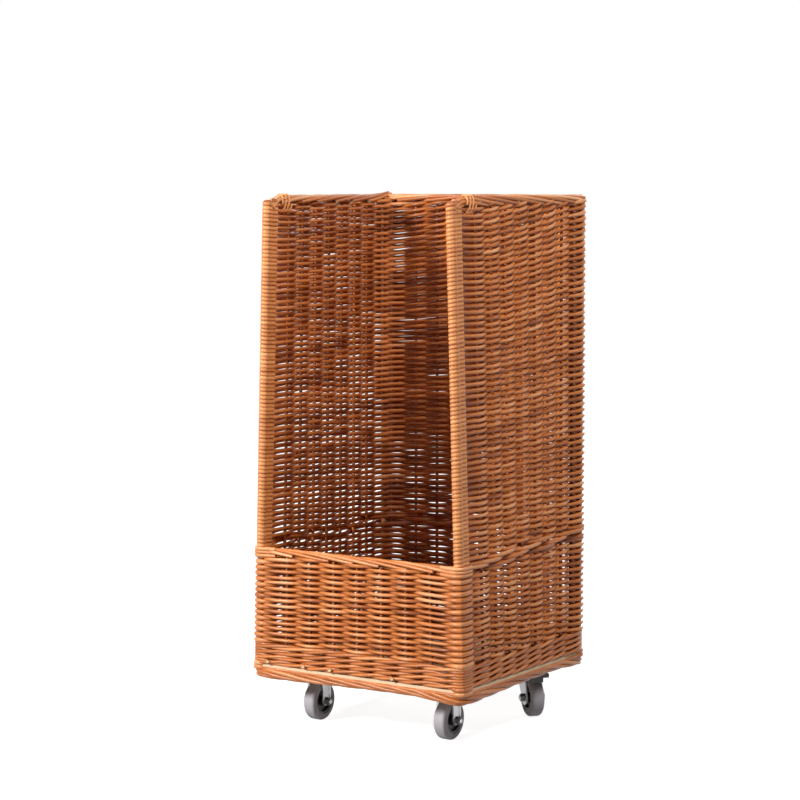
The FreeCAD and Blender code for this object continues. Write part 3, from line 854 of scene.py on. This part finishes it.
def stake_piece(wall, place_at, top):
    rods = Rods(sides=9)
    heights = np.linspace(board_bottom, top, stake_rings)
    for share in stake_shares:
        line = np.array([place_at(share, height) for height in heights])
        rods.add(line, np.linspace(*stake_taper, stake_rings) * stake_radius, chance.normal(*stake_tone_and_shade))
    rod_piece(rods, wall + "_stake_rods", willow, [wall + "_stakes"])


stake_piece("left", lambda share, z: side_point(-1, share, z), wall_top)
stake_piece("right", lambda share, z: side_point(1, share, z), wall_top)
stake_piece("back", back_point, wall_top)
stake_piece("front", front_point, rail_bottom)

# %% [markdown]
# The band at the foot is a three-rod wale. Each rod passes outside two stakes and inside one, and the three rods of
# a round are one stake apart, so outside there are always two of them to see, slanting like the lay of a rope. A
# twisted rope laid round the wall would look alike from afar, but would have nothing to show between the stakes.

# %% Bottom wale
wale_bottom = low_corner("bottom_wale")[2]
wale_top = high_corner("bottom_wale")[2]
wale_rounds = 4
wale_strands = 3
round_height = (wale_top - wale_bottom) / wale_rounds
wale_radius = round_height / 3.2
wale_tone = (0.42, 0.12)
wale_slant = (0.0, 0.8, -0.8)
doubled_corner = 12
rings_per_strip = 60


def wale_step(number, shift):
    """Where a rod is in its round of three. One rear corner counts twice, so that the rods meet again in front."""
    return (number + (number > doubled_corner) + shift) % wale_strands


def wale_weave(shift):
    return lambda number: -1 if wale_step(number, shift) == 0 else 1


wale_rods = Rods()
for number in range(wale_rounds):
    for strand in range(wale_strands):
        shift = strand + number
        middle = wale_bottom + (number + 0.5) * round_height
        points, numbers, turns = row_points(middle, True, wale_weave(shift), wale_radius)
        slants = [wale_slant[wale_step(passed, shift)] for passed in numbers]
        lifted = [place + UP * wale_radius * slant for place, slant in zip(points, slants)]
        line, headings = row_line(lifted, turns, True)[:2]
        wale_rods.add(line, wale_radius, chance.normal(*wale_tone), (0, 0), rings_per_strip, headings)
print("rods in the wale:", wale_rounds * wale_strands)

# %% [markdown]
# A few cut ends of the wale stick out at the front, just above the board. They are short rods that slant out from
# behind and end in pale wood. They go into the mesh of the wale, because they are the ends of its rods.

# %% Cut ends of the wale
stub_shares = (0.05, 0.24, 0.38, 0.7)
stub_height = board_top + 5.6 * MM
stub_reach = 12.4 * MM
stub_run = LEFT * 9 * MM + BACK * 11 * MM
stub_radius = 2.4 * MM
stub_rings = 5
stub_tone = 0.5
for share in stub_shares:
    tip = front_point(share, stub_height) + FRONT * stub_reach
    wale_rods.add(evenly(tip + stub_run, tip, stub_rings), stub_radius, stub_tone)
rod_piece(wale_rods, "wale_rods", willow, ["bottom_wale"])

# %% [markdown]
# Each front post is bound with skein, split willow wound round its two rods. Separate rings would do from afar, but
# the winding is one long helix that follows a rounded outline round both rods and leans with the post. Its pitch
# wanders a little. Skein lies flat, so the tube is wide and sunk into the post, and only its outer part shows. The
# dark line between two turns is painted shade in its finish. The first and last turn taper off.

# %% Outline of one turn of skein
wrap_reach = 2.5 * MM
wrap_waist = 0.1
steps_per_rod = 8


def wrap_outline():
    """Points of one turn, seen from above, as offsets from the middle of the post."""
    outline = []
    for first_turn, end in ((180, -1), (0, 1)):
        for step in range(steps_per_rod + 1):
            angle = math.radians(first_turn + 180 * step / steps_per_rod)
            outline.append((wrap_reach * math.cos(angle), wrap_reach * math.sin(angle) + end * post_half_gap))
        outline.append((-end * wrap_reach * wrap_waist, 0.0))
    return np.array(outline)


turn_outline = wrap_outline()
steps_per_turn = len(turn_outline)
print("points in one turn:", steps_per_turn)

# %% Skein on the front posts
wrap_pitch = 5.4 * MM
wrap_radius = 4.7 * MM
wrap_end_radius = 3.1 * MM
wrap_wander = 0.22 * MM
wrap_tone = (0.5, 0.07)
wrap_tone_limits = (0.1, 0.95)
wrap_cut_shade = 0.2
wrap_bottom = rail_bottom - 4 * MM
wrap_top = basket_top - 3 * MM
wrap_turns = int((wrap_top - wrap_bottom) / wrap_pitch)
skein_rods = Rods(sides=12)
for side in (-1, 1):
    wander = chance.normal(0, wrap_wander, wrap_turns + 1)
    turn_tones = np.clip(chance.normal(*wrap_tone, wrap_turns + 1), *wrap_tone_limits)
    line = []
    tones = []
    for number in range(wrap_turns):
        for step, (across, along) in enumerate(turn_outline):
            share = step / steps_per_turn
            height = wrap_bottom + (number + share) * wrap_pitch
            height += wander[number] * (1 - share) + wander[number + 1] * share
            middle = side * (front_post_x - lean_at(height))
            line.append((middle + side * across, post_y + along, height))
            tones.append(turn_tones[number] * (1 - share) + turn_tones[number + 1] * share)
    stations = [0, steps_per_turn, len(line) - steps_per_turn, len(line)]
    radii = np.interp(np.arange(len(line)), stations, [wrap_end_radius, wrap_radius, wrap_radius, wrap_end_radius])
    skein_rods.add(line, radii, np.array(tones), (wrap_cut_shade, wrap_cut_shade), steps_per_turn)
rod_piece(skein_rods, "post_skein", wound_skein, ["front_post_wraps"])

# %% [markdown]
# A rolled border is made from the stakes themselves. Each one bends over at the top of the wall, runs along it while
# it rolls from the inside over the top to the outside, and ends tucked under the next ones. A bundle of straight rods
# would be quicker, but it is the roll that shows. One function makes the top border, the front rail and the foot
# border, which differ only in their line and in the way they roll. The inside is on the right of some lines and on
# the left of others, so there are two ways to roll.

# %% Directions beside a line
axis_step = 4 * MM


def read_along(stations, length, values):
    """Points or directions of a line, read at some running lengths."""
    return np.stack([np.interp(stations, length, values[:, index]) for index in range(3)], axis=1)


def leftward_along(line):
    """The level direction to the left of the heading at each point of a line."""
    leftward = np.cross(UP, directions(line))
    return leftward / np.linalg.norm(leftward, axis=1)[:, None]


print("left of the heading in the middle of the bend:", read_along([0.8], lengths(bend), leftward_along(bend)).round(3))

# %% Rods rolled round a line
station_step = 5 * MM
fewest_stations = 5
start_spread = 0.06
run_range = (0.93, 1.05)
thick_end = 1.1
border_taper = 0.22
border_tone_spread = 0.13
hidden_cut = 0.3


def border_rods(rods, axis, spacing, run, reach, radius, roll, closed=False, ceiling=None, tone=0.5):
    """Adds rods at a spacing along the axis. Each rolls round it from the first angle to the second over its run,
    where 0 is left of the axis, 90 above it and 180 right of it. A ceiling holds the rods below a height.
    A closed axis laps over its own start, so every rod begins and ends on it."""
    line = smooth_line(axis, axis_step)
    length = lengths(line)
    leftward = leftward_along(line)
    starts = np.arange(0, length[-1] - run, spacing) if closed else np.arange(spacing / 2 - run, length[-1], spacing)
    for start in starts:
        start += chance.normal(0, start_spread) * spacing
        finish = start + run * chance.uniform(*run_range)
        stations = np.arange(max(start, 0.0), min(finish, length[-1]), station_step)
        if len(stations) < fewest_stations:
            continue
        sideways = read_along(stations, length, leftward)
        share = (stations - start) / run
        radii = radius * (thick_end - border_taper * share)
        angles = np.radians(roll[0] + (roll[1] - roll[0]) * share)[:, None]
        rolled = read_along(stations, length, line)
        rolled = rolled + reach[0] * np.cos(angles) * sideways + reach[1] * np.sin(angles) * UP
        if ceiling:
            rolled[:, 2] = np.minimum(rolled[:, 2], ceiling - radii)
        ends = (1 if start > 0 else hidden_cut, 1 if finish < length[-1] else hidden_cut)
        rods.add(rolled, radii, chance.normal(tone, border_tone_spread), ends)


print("a border rod tapers from", thick_end, "to", round(thick_end - border_taper, 2), "of its radius")

# %% Top borders
border_radius = 2.5 * MM
border_spacing = 48 * MM
border_run = 5 * border_spacing
top_reach = (4.4 * MM, 5.6 * MM)
top_line = basket_top - border_radius - top_reach[1]
head_x = front_post_x - lean_at(top_line)
right_to_left = (200, -50)
left_to_right = (-20, 230)
rear_lifts = {-1: 4 * MM, 1: 0.0}
past_corner = 3 * MM
wall_shares = (0.08, 0.94)
mirror = np.array([-1, 1, 1])


def side_border_axis(side):
    """The line of a side border. It dips to the front post and runs on past the rear one."""
    front = [
        np.array([side * head_x, post_y, top_line - 10 * MM]),
        np.array([side * head_x, inner_rod_y + 4 * MM, top_line - 3 * MM]),
    ]
    wall = evenly(*[side_point(side, share, top_line) for share in wall_shares], 8)
    rear_end = np.array([side * (rear_post[0] + past_corner), rear_post[1] + 12 * MM, top_line + rear_lifts[side]])
    return front + wall + [rear_end]


back_end = np.array([rear_post[0] + past_corner, end_line, top_line])
for wall, axis, roll in (
    ("left", side_border_axis(-1), right_to_left),
    ("right", side_border_axis(1), left_to_right),
    ("back", evenly(back_end * mirror, back_end, 9), right_to_left),
):
    rods = Rods(sides=8)
    border_rods(rods, axis, border_spacing, border_run, top_reach, border_radius, roll)
    rod_piece(rods, wall + "_border_rods", willow, [wall + "_top_border"])

# %% [markdown]
# The front rail is the rolled border of the low front panel. At each end it meets a front post, and there three rods
# go round the post as a collar and run on into the side wall. The rail could simply stop at the post, but the collar
# is what holds it on the real basket, and its turns are seen from the side.

# %% Front rail
rail_reach = (3.7 * MM, 4.6 * MM)
rail_line = rail_top - border_radius - rail_reach[1]
rail_corner = np.array([front_post_x - lean_at(rail_line), -end_line, rail_line])
rail_axis = evenly(rail_corner * mirror, rail_corner, 9)
rail_spacing = 45 * MM
rail_run = 4 * rail_spacing
rail_rods = Rods(sides=8)
border_rods(rail_rods, rail_axis, rail_spacing, rail_run, rail_reach, border_radius, left_to_right)
print("rail from", rail_axis[0].round(4), "to", rail_axis[-1].round(4))

# %% Collars of the rail round the posts
collar_lifts = (-4.6, 0.0, 4.6)
collar_taper = (1.05, 0.9)
collar_tone = (0.5, 0.12)
collar_reach = post_rod_radius + border_radius
collar_outline = [
    (-26 * MM, front_rod_y - 0.3 * collar_reach),
    (-10 * MM, front_rod_y - 0.8 * collar_reach),
    (0.2 * collar_reach, front_rod_y - collar_reach),
    (0.9 * collar_reach, front_rod_y - 0.4 * collar_reach),
    (collar_reach, post_y),
    (0.8 * collar_reach, inner_rod_y + collar_reach),
    (-0.4 * collar_reach, inner_rod_y + 2.5 * collar_reach),
]
for side in (-1, 1):
    for lift in collar_lifts:
        height = rail_line + lift * MM
        post_x = front_post_x - lean_at(height)
        points = [np.array([side * (post_x + across), y, height]) for across, y in collar_outline]
        line = smooth_line(points, axis_step)
        radii = border_radius * np.linspace(*collar_taper, len(line))
        rail_rods.add(line, radii, chance.normal(*collar_tone), (0, 0))
rod_piece(rail_rods, "front_rail_rods", willow, ["front_rail"])

# %% [markdown]
# Below the board a second rolled border hides the plates of the castors. It runs round all four sides as one loop,
# so its line is a rectangle with rounded corners that goes on past its start, where the first rods cover the last.
# Four straight borders would leave gaps at the corners. On the real basket it sags here and bulges there, so the loop
# follows a short table of heights on each side.

# %% The line of the foot border
loop_overlap = 9


def rounded_loop(half_x, half_y, height, bend):
    """Points round a rectangle with rounded corners, from the middle of the back, round, and past the first corner."""
    points = [np.array([0.0, half_y, height])]
    for across, along, first_turn in ((-1, 1, 90), (-1, -1, 180), (1, -1, 270), (1, 1, 360)):
        middle = np.array([across * (half_x - bend), along * (half_y - bend), height])
        arc = []
        for turn in np.radians(first_turn + np.linspace(0, 90, 5)):
            arc.append(middle + bend * np.array([math.cos(turn), math.sin(turn), 0.0]))
        points += evenly(points[-1], arc[0], 6)[1:] + arc[1:]
    overlap = [place.copy() for place in points[1:loop_overlap + 1]]
    return points + evenly(points[-1], points[0], 6)[1:] + overlap


foot_low = low_corner("foot_border")
foot_high = high_corner("foot_border")
foot_radius = 3.0 * MM
foot_reach = (3.2 * MM, 5.0 * MM)
foot_inset = foot_reach[0] + foot_radius - 1.6 * MM
foot_line = foot_low[2] + foot_radius + foot_reach[1]
foot_bend = 8 * MM
foot_axis = rounded_loop(foot_high[0] - foot_inset, foot_high[1] - foot_inset, foot_line, foot_bend)
foot_sag = {
    "along": ([-160, -100, -40, 60, 120, 160], [-3.0, -2.5, -0.5, 1.0, 0.5, -3.5]),
    "front": ([-160, -100, -50, 0, 60, 110, 160], [-2.0, -1.8, -0.5, 1.0, 2.0, 1.5, -3.0]),
    "back": ([-160, -80, 80, 160], [-3.5, 1.0, 1.0, -3.5]),
}
for place in foot_axis:
    x, y = place[:2] / MM
    if abs(place[1]) > foot_high[1] - foot_inset - foot_bend / 2:
        part, station = ("front" if y < 0 else "back"), x
    else:
        part, station = "along", y
    place[2] += np.interp(station, *foot_sag[part]) * MM
print("points round the foot:", len(foot_axis), "heights:", np.ptp([place[2] for place in foot_axis]).round(4))

# %% [markdown]
# The rods of the foot border roll all the way round a core. They are held just above the underside of the board, so
# that a pale line of plywood shows over them, and one thin rod along the board keeps that line even. The rods could
# be laid lower instead, but then the plates of the castors would show.

# %% Foot border
foot_spacing = 42 * MM
foot_run = 4 * foot_spacing
foot_roll = (50, 310)
foot_ceiling = board_bottom + 2 * MM
foot_tone = 0.36
core_tone = 0.3
foot_rods = Rods(sides=8)
border_rods(
    foot_rods, foot_axis, foot_spacing, foot_run, foot_reach, foot_radius, foot_roll, True, foot_ceiling, foot_tone
)
core_line = smooth_line(foot_axis[:-loop_overlap], ring_step)
foot_rods.add(core_line, foot_radius, core_tone, (1, 1), rings_per_strip)
edge_radius = 1.9 * MM
edge_proud = 0.9 * MM
edge_height = board_bottom + 0.7 * MM
edge_bend = 6 * MM
edge_tone = 0.4
edge_x, edge_y = high_corner("base_board")[:2] + edge_proud - edge_radius
edge_axis = rounded_loop(edge_x, edge_y, edge_height, edge_bend)[:-loop_overlap]
foot_rods.add(smooth_line(edge_axis, ring_step), edge_radius, edge_tone, (1, 1), rings_per_strip)
print("foot border strips:", foot_rods.strips)

# %% [markdown]
# At each corner two weavers wrap the foot of the post beside the board. Without them the post would show bare between
# the wale and the foot border.

# %% Weavers round the feet of the posts
corner_heights = (board_bottom + 1 * MM, board_bottom + 7 * MM)
corner_tone = (0.5, 0.1)
level = np.array([1, 1, 0])
for side in (-1, 1):
    for height in corner_heights:
        post_x = front_post_x - lean_at(height)
        front_way = [np.array([side * (post_x - 26 * MM), front_rod_y + 6 * MM, height])]
        front_way += front_corner(side, height, 1, front_reach)
        front_way += [np.array([side * (post_x - 2 * MM), inner_rod_y + 16 * MM, height])]
        rear_way = [np.array([side * (rear_post[0] + 2 * MM), rear_post[1] - 24 * MM, height])]
        rear_way += [place * level + UP * height for place in rear_corner(side, height, 1, rear_reach)]
        rear_way += [np.array([side * (rear_post[0] - 24 * MM), rear_post[1] + 2 * MM, height])]
        for way in (front_way, rear_way):
            line = smooth_line(way, axis_step)
            foot_rods.add(line, weaver_radius * pressed(line), chance.normal(*corner_tone), (0, 0))
rod_piece(foot_rods, "foot_border_rods", willow, ["foot_border"])

# %% [markdown]
# Where the top border meets each front post, three turns of skein lash it down. Three rings would look like clips, so
# they are a short helix round the border that reaches through the weaving below it.

# %% Border lashings
lashing_turns = 3
lashing_steps = 20
lashing_pitch = 7.5 * MM
lashing_sway = 0.3
lashing_reach = (7.4 * MM, 12.5 * MM)
lashing_radius = 1.6 * MM
lashing_tone = 0.55
lashing_share = 0.02
lashing_height = top_line - 4 * MM
lashing_rods = Rods(sides=6)
for side in (-1, 1):
    line = []
    for step in range(lashing_turns * lashing_steps + 1):
        angle = math.radians(360 * step / lashing_steps)
        middle = side_point(side, lashing_share, lashing_height)
        middle = middle + BACK * lashing_pitch * (step / lashing_steps + lashing_sway * math.sin(angle))
        line.append(middle + RIGHT * lashing_reach[0] * math.cos(angle) + UP * lashing_reach[1] * math.sin(angle))
    lashing_rods.add(line, lashing_radius, lashing_tone, (1, 1), lashing_steps)
rod_piece(lashing_rods, "border_lashings", skein, [])

# %% [markdown]
# The base board is plywood. Its edge shows the layers, pale and brown by turns, and its face a long soft grain. The
# posts are thick willow rods that show only in slits between the weavers. Both keep their solids, which have no grain
# of their own to read, so the finish takes its pattern from the place of each point in the object.

# %% Plywood and posts
def plywood_finish():
    layer = 2.4 * MM
    finish, shade = new_finish("birch_plywood")
    place = shade.node("TexCoord", {}, {}, "Object")
    height = shade.node("SeparateXYZ", {}, {"Vector": place}, "Z")
    layers = shade.math("SINE", height * (2 * math.pi / layer), 0.0)
    stretched = shade.node("Mapping", {}, {"Vector": place, "Scale": (9.0, 60.0, 40.0)}, "Vector")
    grain = shade.node("TexNoise", {}, {"Vector": stretched, "Scale": 3.0, "Detail": 5.0}, "Fac")
    mask = layers * 0.1 + 0.45 + grain * 0.45
    wood = mask.mix(colour(208, 168, 122), colour(240, 216, 180))
    bump = shade.node("Bump", {}, {"Strength": 0.15, "Distance": 0.0005, "Height": grain})
    surface(shade, Base_Color=wood, Roughness=grain * 0.3 + 0.45, Normal=bump)
    return finish


def post_finish():
    finish, shade = new_finish("willow_posts")
    place = shade.node("TexCoord", {}, {}, "Object")
    stretched = shade.node("Mapping", {}, {"Vector": place, "Scale": (300.0, 300.0, 14.0)}, "Vector")
    grain = shade.node("TexNoise", {}, {"Vector": stretched, "Scale": 1.0, "Detail": 4.0}, "Fac")
    bump = shade.node("Bump", {}, {"Strength": 0.2, "Distance": 0.0004, "Height": grain})
    bark = grain.mix(colour(84, 42, 20), colour(150, 90, 50))
    surface(shade, Base_Color=bark, Roughness=grain * 0.3 + 0.4, Normal=bump)
    return finish


finishes = {"willow": post_finish(), "plywood": plywood_finish()}
print("finishes:", sorted(finishes))

# %% [markdown]
# The castors are zinc plated steel with black moulded cores and grey rubber tyres. One plain colour each would look
# like a drawing, so the plate gets faint clouds and spangles, and the plastic and rubber a fine grain with a little
# dust.

# %% Metal, plastic and rubber
def metal_finish(name, dark, light, rough):
    finish, shade = new_finish(name)
    place = shade.node("TexCoord", {}, {}, "Object")
    cloud = shade.node("TexNoise", {}, {"Vector": place, "Scale": 260.0, "Detail": 4.0}, "Fac")
    spangle = shade.node("TexVoronoi", {}, {"Vector": place, "Scale": 420.0}, "Distance")
    bump = shade.node("Bump", {}, {"Strength": 0.08, "Distance": 0.0003, "Height": cloud})
    plate = (cloud * 0.7 + spangle * 0.3).mix(dark, light)
    surface(shade, Base_Color=plate, Metallic=1.0, Roughness=cloud * 0.25 + rough, Normal=bump)
    return finish


def moulded_finish(name, dark, light, rough, grain_scale):
    finish, shade = new_finish(name)
    place = shade.node("TexCoord", {}, {}, "Object")
    grain = shade.node("TexNoise", {}, {"Vector": place, "Scale": grain_scale, "Detail": 3.0}, "Fac")
    dust = shade.node("TexNoise", {}, {"Vector": place, "Scale": grain_scale / 12, "Detail": 4.0}, "Fac")
    bump = shade.node("Bump", {}, {"Strength": 0.2, "Distance": 0.0003, "Height": grain})
    surface(shade, Base_Color=dust.mix(dark, light), Roughness=grain * 0.2 + rough, Normal=bump)
    return finish


finishes["zinc_steel"] = metal_finish("zinc_plate", colour(150, 150, 152), colour(205, 205, 206), 0.28)
finishes["dark_steel"] = metal_finish("oiled_steel", colour(62, 60, 60), colour(104, 102, 100), 0.35)
finishes["black_plastic"] = moulded_finish("black_nylon", colour(14, 13, 14), colour(34, 33, 34), 0.38, 900.0)
finishes["grey_rubber"] = moulded_finish("grey_rubber", colour(164, 158, 162), colour(190, 184, 189), 0.55, 700.0)
print("finishes:", sorted(finishes))

# %% [markdown]
# The front castors do not swivel. Each wheel hangs in a strap of pressed steel, folded over it like a staple, with a
# rib along both edges and a rounded end just below the axle. It could be a box with bevels, but one grid that follows
# the strap from end to end gives the fold, the ribs and the round ends together. The grid then gets a thickness.

# %% One leg of a strap
strap_bend = 5.0 * MM
strap_half_width = 8.5 * MM
strap_rounding = 9.0 * MM
tip_turns = np.radians(np.linspace(2, 90, 10))
fold_turns = np.radians(np.linspace(0, 90, 8))
rib_rows = 4
rib_from_tip = 2 * MM
rib_from_fold = 3 * MM


def strap_leg(half_gap, top, tip):
    """One leg of the strap from its tip to the middle of its top: place, outward direction, half width and rib."""
    rows = []
    for turn in tip_turns:
        height = tip + strap_rounding * (1 - math.cos(turn))
        rows.append(((half_gap, height), (1.0, 0.0), strap_half_width * math.sin(turn), 0.0))
    for height in np.linspace(tip + strap_rounding + rib_from_tip, top - strap_bend - rib_from_fold, rib_rows):
        rows.append(((half_gap, height), (1.0, 0.0), strap_half_width, 1.0))
    for turn in fold_turns:
        away = (math.cos(turn), math.sin(turn))
        place = (half_gap - strap_bend + strap_bend * away[0], top - strap_bend + strap_bend * away[1])
        rows.append((place, away, strap_half_width, 0.0))
    return rows


print("rows in one leg:", len(strap_leg(0.0, 0.1, 0.0)))

# %% Points and faces of a strap
strap_sheet = 2.2 * MM
strap_below_axle = 6.0 * MM
rib_height = 1.3 * MM
half_rib = [(-1.0, 0.0), (-0.97, 1.0), (-0.74, 1.0), (-0.68, 0.0)]
rib_steps = half_rib + [(-across, raised) for across, raised in half_rib[::-1]]


def strap_points(name):
    """Points of the outer and then the inner skin of a strap, row by row from tip to tip."""
    low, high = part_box(name + "_fork")
    middle_x = (low[0] + high[0]) / 2
    middle_y = (low[1] + high[1]) / 2
    axle = (low_corner(name + "_tyre")[2] + high_corner(name + "_tyre")[2]) / 2
    leg = strap_leg((high[0] - low[0]) / 2 - rib_height, high[2], axle - strap_below_axle)
    mirrored = [((-x, z), (-away_x, away_z), half, rib) for (x, z), (away_x, away_z), half, rib in leg[::-1]]
    points = []
    for depth in (0.0, strap_sheet):
        for (x, z), (away_x, away_z), half, rib in leg + mirrored:
            for across, raised in rib_steps:
                proud = raised * rib * rib_height if depth == 0 else -depth
                points.append((middle_x + x + proud * away_x, middle_y + across * half, z + proud * away_z))
    return points


def strap_faces(rows, columns):
    """Faces of both skins and of the edges that join them."""
    skin = rows * columns
    faces = []
    for row in range(rows - 1):
        for column in range(columns - 1):
            corner = row * columns + column
            quad = (corner, corner + 1, corner + columns + 1, corner + columns)
            faces += [quad, tuple(skin + index for index in quad[::-1])]
        for edge in (row * columns, row * columns + columns - 1):
            faces.append((edge, edge + columns, edge + columns + skin, edge + skin))
    for first in (0, (rows - 1) * columns):
        for corner in range(first, first + columns - 1):
            faces.append((corner, corner + 1, corner + 1 + skin, corner + skin))
    return faces


print("points across a strap:", len(rib_steps))

# %% Straps of the front castors
def castor_strap(name):
    points = strap_points(name)
    columns = len(rib_steps)
    faces = strap_faces(len(points) // (2 * columns), columns)
    mesh = bpy.data.meshes.new(name + "_strap")
    mesh.from_pydata(points, [], faces)
    shape = bmesh.new()
    shape.from_mesh(mesh)
    bmesh.ops.recalc_face_normals(shape, faces=shape.faces)
    shape.to_mesh(mesh)
    shape.free()
    mesh.materials.append(finishes["zinc_steel"])
    strap = linked(name + "_strap", mesh)
    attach(strap, "basket")
    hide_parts(name + "_fork")
    print(strap.name, "faces:", len(faces))


castor_strap("front_left")
castor_strap("front_right")

# %% [markdown]
# The solids that stay arrive with plain stand-in materials, one for each slot. They could be picked out by name, but
# the slot already says what each one is made of, so its name chooses the finish.

# %% Put the finishes on the solids
painted = 0
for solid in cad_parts.values():
    for place in solid.material_slots:
        wanted = place.material.name.split(".")[0] if place.material else ""
        if wanted in finishes:
            place.material = finishes[wanted]
            painted += 1
print("slots painted:", painted)

# %% [markdown]
# The studio is plain and white. A strong light on a white floor would wash out the willow, so the floor is white
# only where it is seen, straight or in shiny metal. There it glows and takes a soft shadow, and to all other light it
# is a quiet grey. The air round it does the same, with a little light from all sides.

# %% Floor
floor_half = 7.0


def grey(level):
    return (level, level, level, 1.0)


def seen_rays(shade):
    """One for the rays that show the background: to the camera, in a mirror or through glass."""
    kinds = ("Is Camera Ray", "Is Glossy Ray", "Is Transmission Ray")
    straight, mirrored, passed = [shade.node("LightPath", {}, {}, kind) for kind in kinds]
    return shade.math("MINIMUM", straight + mirrored + passed, 1.0)


def white_floor():
    finish, shade = new_finish("studio_floor")
    seen = seen_rays(shade)
    lit = shade.node("BsdfDiffuse", {}, {"Color": grey(0.5)})
    bounce = shade.node("BsdfDiffuse", {}, {"Color": grey(0.28)})
    place = shade.node("TexCoord", {}, {}, "Object")
    distance = shade.node("VectorMath", {"operation": "LENGTH"}, {"Vector": place}, "Value")
    stops = [(0.1, grey(0.88)), (0.6, grey(1.0))]
    white = shade.node("ValToRGB", {"stops": stops}, {"Fac": distance * 0.2}, "Color")
    glow = shade.node("Emission", {}, {"Color": white, "Strength": 1.0})
    both = shade.node("AddShader", {}, {"Shader": lit, "Shader_001": glow})
    skin = shade.node("MixShader", {}, {"Fac": seen, "Shader": bounce, "Shader_001": both})
    shade.node("OutputMaterial", {}, {"Surface": skin})
    return finish


floor_mesh = bpy.data.meshes.new("studio_floor")
floor_corners = [(x * floor_half, y * floor_half, 0) for x, y in ((-1, -1), (1, -1), (1, 1), (-1, 1))]
floor_mesh.from_pydata(floor_corners, [], [(0, 1, 2, 3)])
floor_mesh.materials.append(white_floor())
floor = linked("studio_floor", floor_mesh)
print("floor:", tuple(floor.dimensions))

# %% Light from all round
ambient = 0.05
world = bpy.data.worlds.new("studio")
bpy.context.scene.world = world
world.use_nodes = True
world.node_tree.nodes.clear()
air = Shade(world.node_tree)
strength = seen_rays(air) * (1.0 - ambient) + ambient
sky = air.node("Background", {}, {"Color": grey(1.0), "Strength": strength})
air.node("OutputWorld", {}, {"Surface": sky})
print("light from all round:", ambient)

# %% [markdown]
# The main light comes from the front left and is fairly small, so that each rod has a clear shadow. Two weaker ones
# from above, to the right, open the shadows of the right wall and the inside, and one from behind keeps the back from
# going dark in other views. More light from all round would do that too, but it would flatten the weave.

# %% Lamps
def soft_lamp(name, place, target, size, power):
    lamp = bpy.data.lights.new(name, "AREA")
    lamp.energy = power
    lamp.size = size
    stand = linked(name, lamp)
    stand.location = place
    aim = np.array(target) - np.array(place)
    stand.rotation_euler = (math.acos(-aim[2] / np.linalg.norm(aim)), 0, math.atan2(aim[1], aim[0]) - math.pi / 2)


basket_middle = (0.0, 0.0, 0.4)
soft_lamp("key", (-1.3, -2.6, 1.7), basket_middle, 0.6, 126.0)
soft_lamp("top", (0.9, -0.7, 2.5), basket_middle, 1.0, 12.0)
soft_lamp("fill", (1.45, -0.5, 2.3), basket_middle, 0.8, 32.0)
soft_lamp("back", (-0.4, 2.8, 1.0), basket_middle, 1.2, 34.0)
print("lamps:", [lamp.name for lamp in bpy.data.lights])

# %% [markdown]
# The camera stands where the picture was taken, to the right of the front and a little above the basket. It could be
# set by eye, but its place was worked out from the edges of the basket in the picture, so the lines fall together.

# %% Camera
camera_tilt = 5.4173
camera_turn = 33.2182
camera = bpy.data.cameras.new("camera")
camera.lens = 104.2565
camera.sensor_width = 36.0
view = linked("camera", camera)
view.location = (1.7360, -2.7049, 0.7516)
view.rotation_euler = (math.radians(90 - camera_tilt), 0, math.radians(camera_turn))
bpy.context.scene.camera = view
bpy.context.scene.view_settings.view_transform = "Standard"
print("camera at", tuple(view.location), "lens", camera.lens)

# %% [markdown]
# The dressed basket is a little larger than its solids, because rods bulge where the solids are plain.
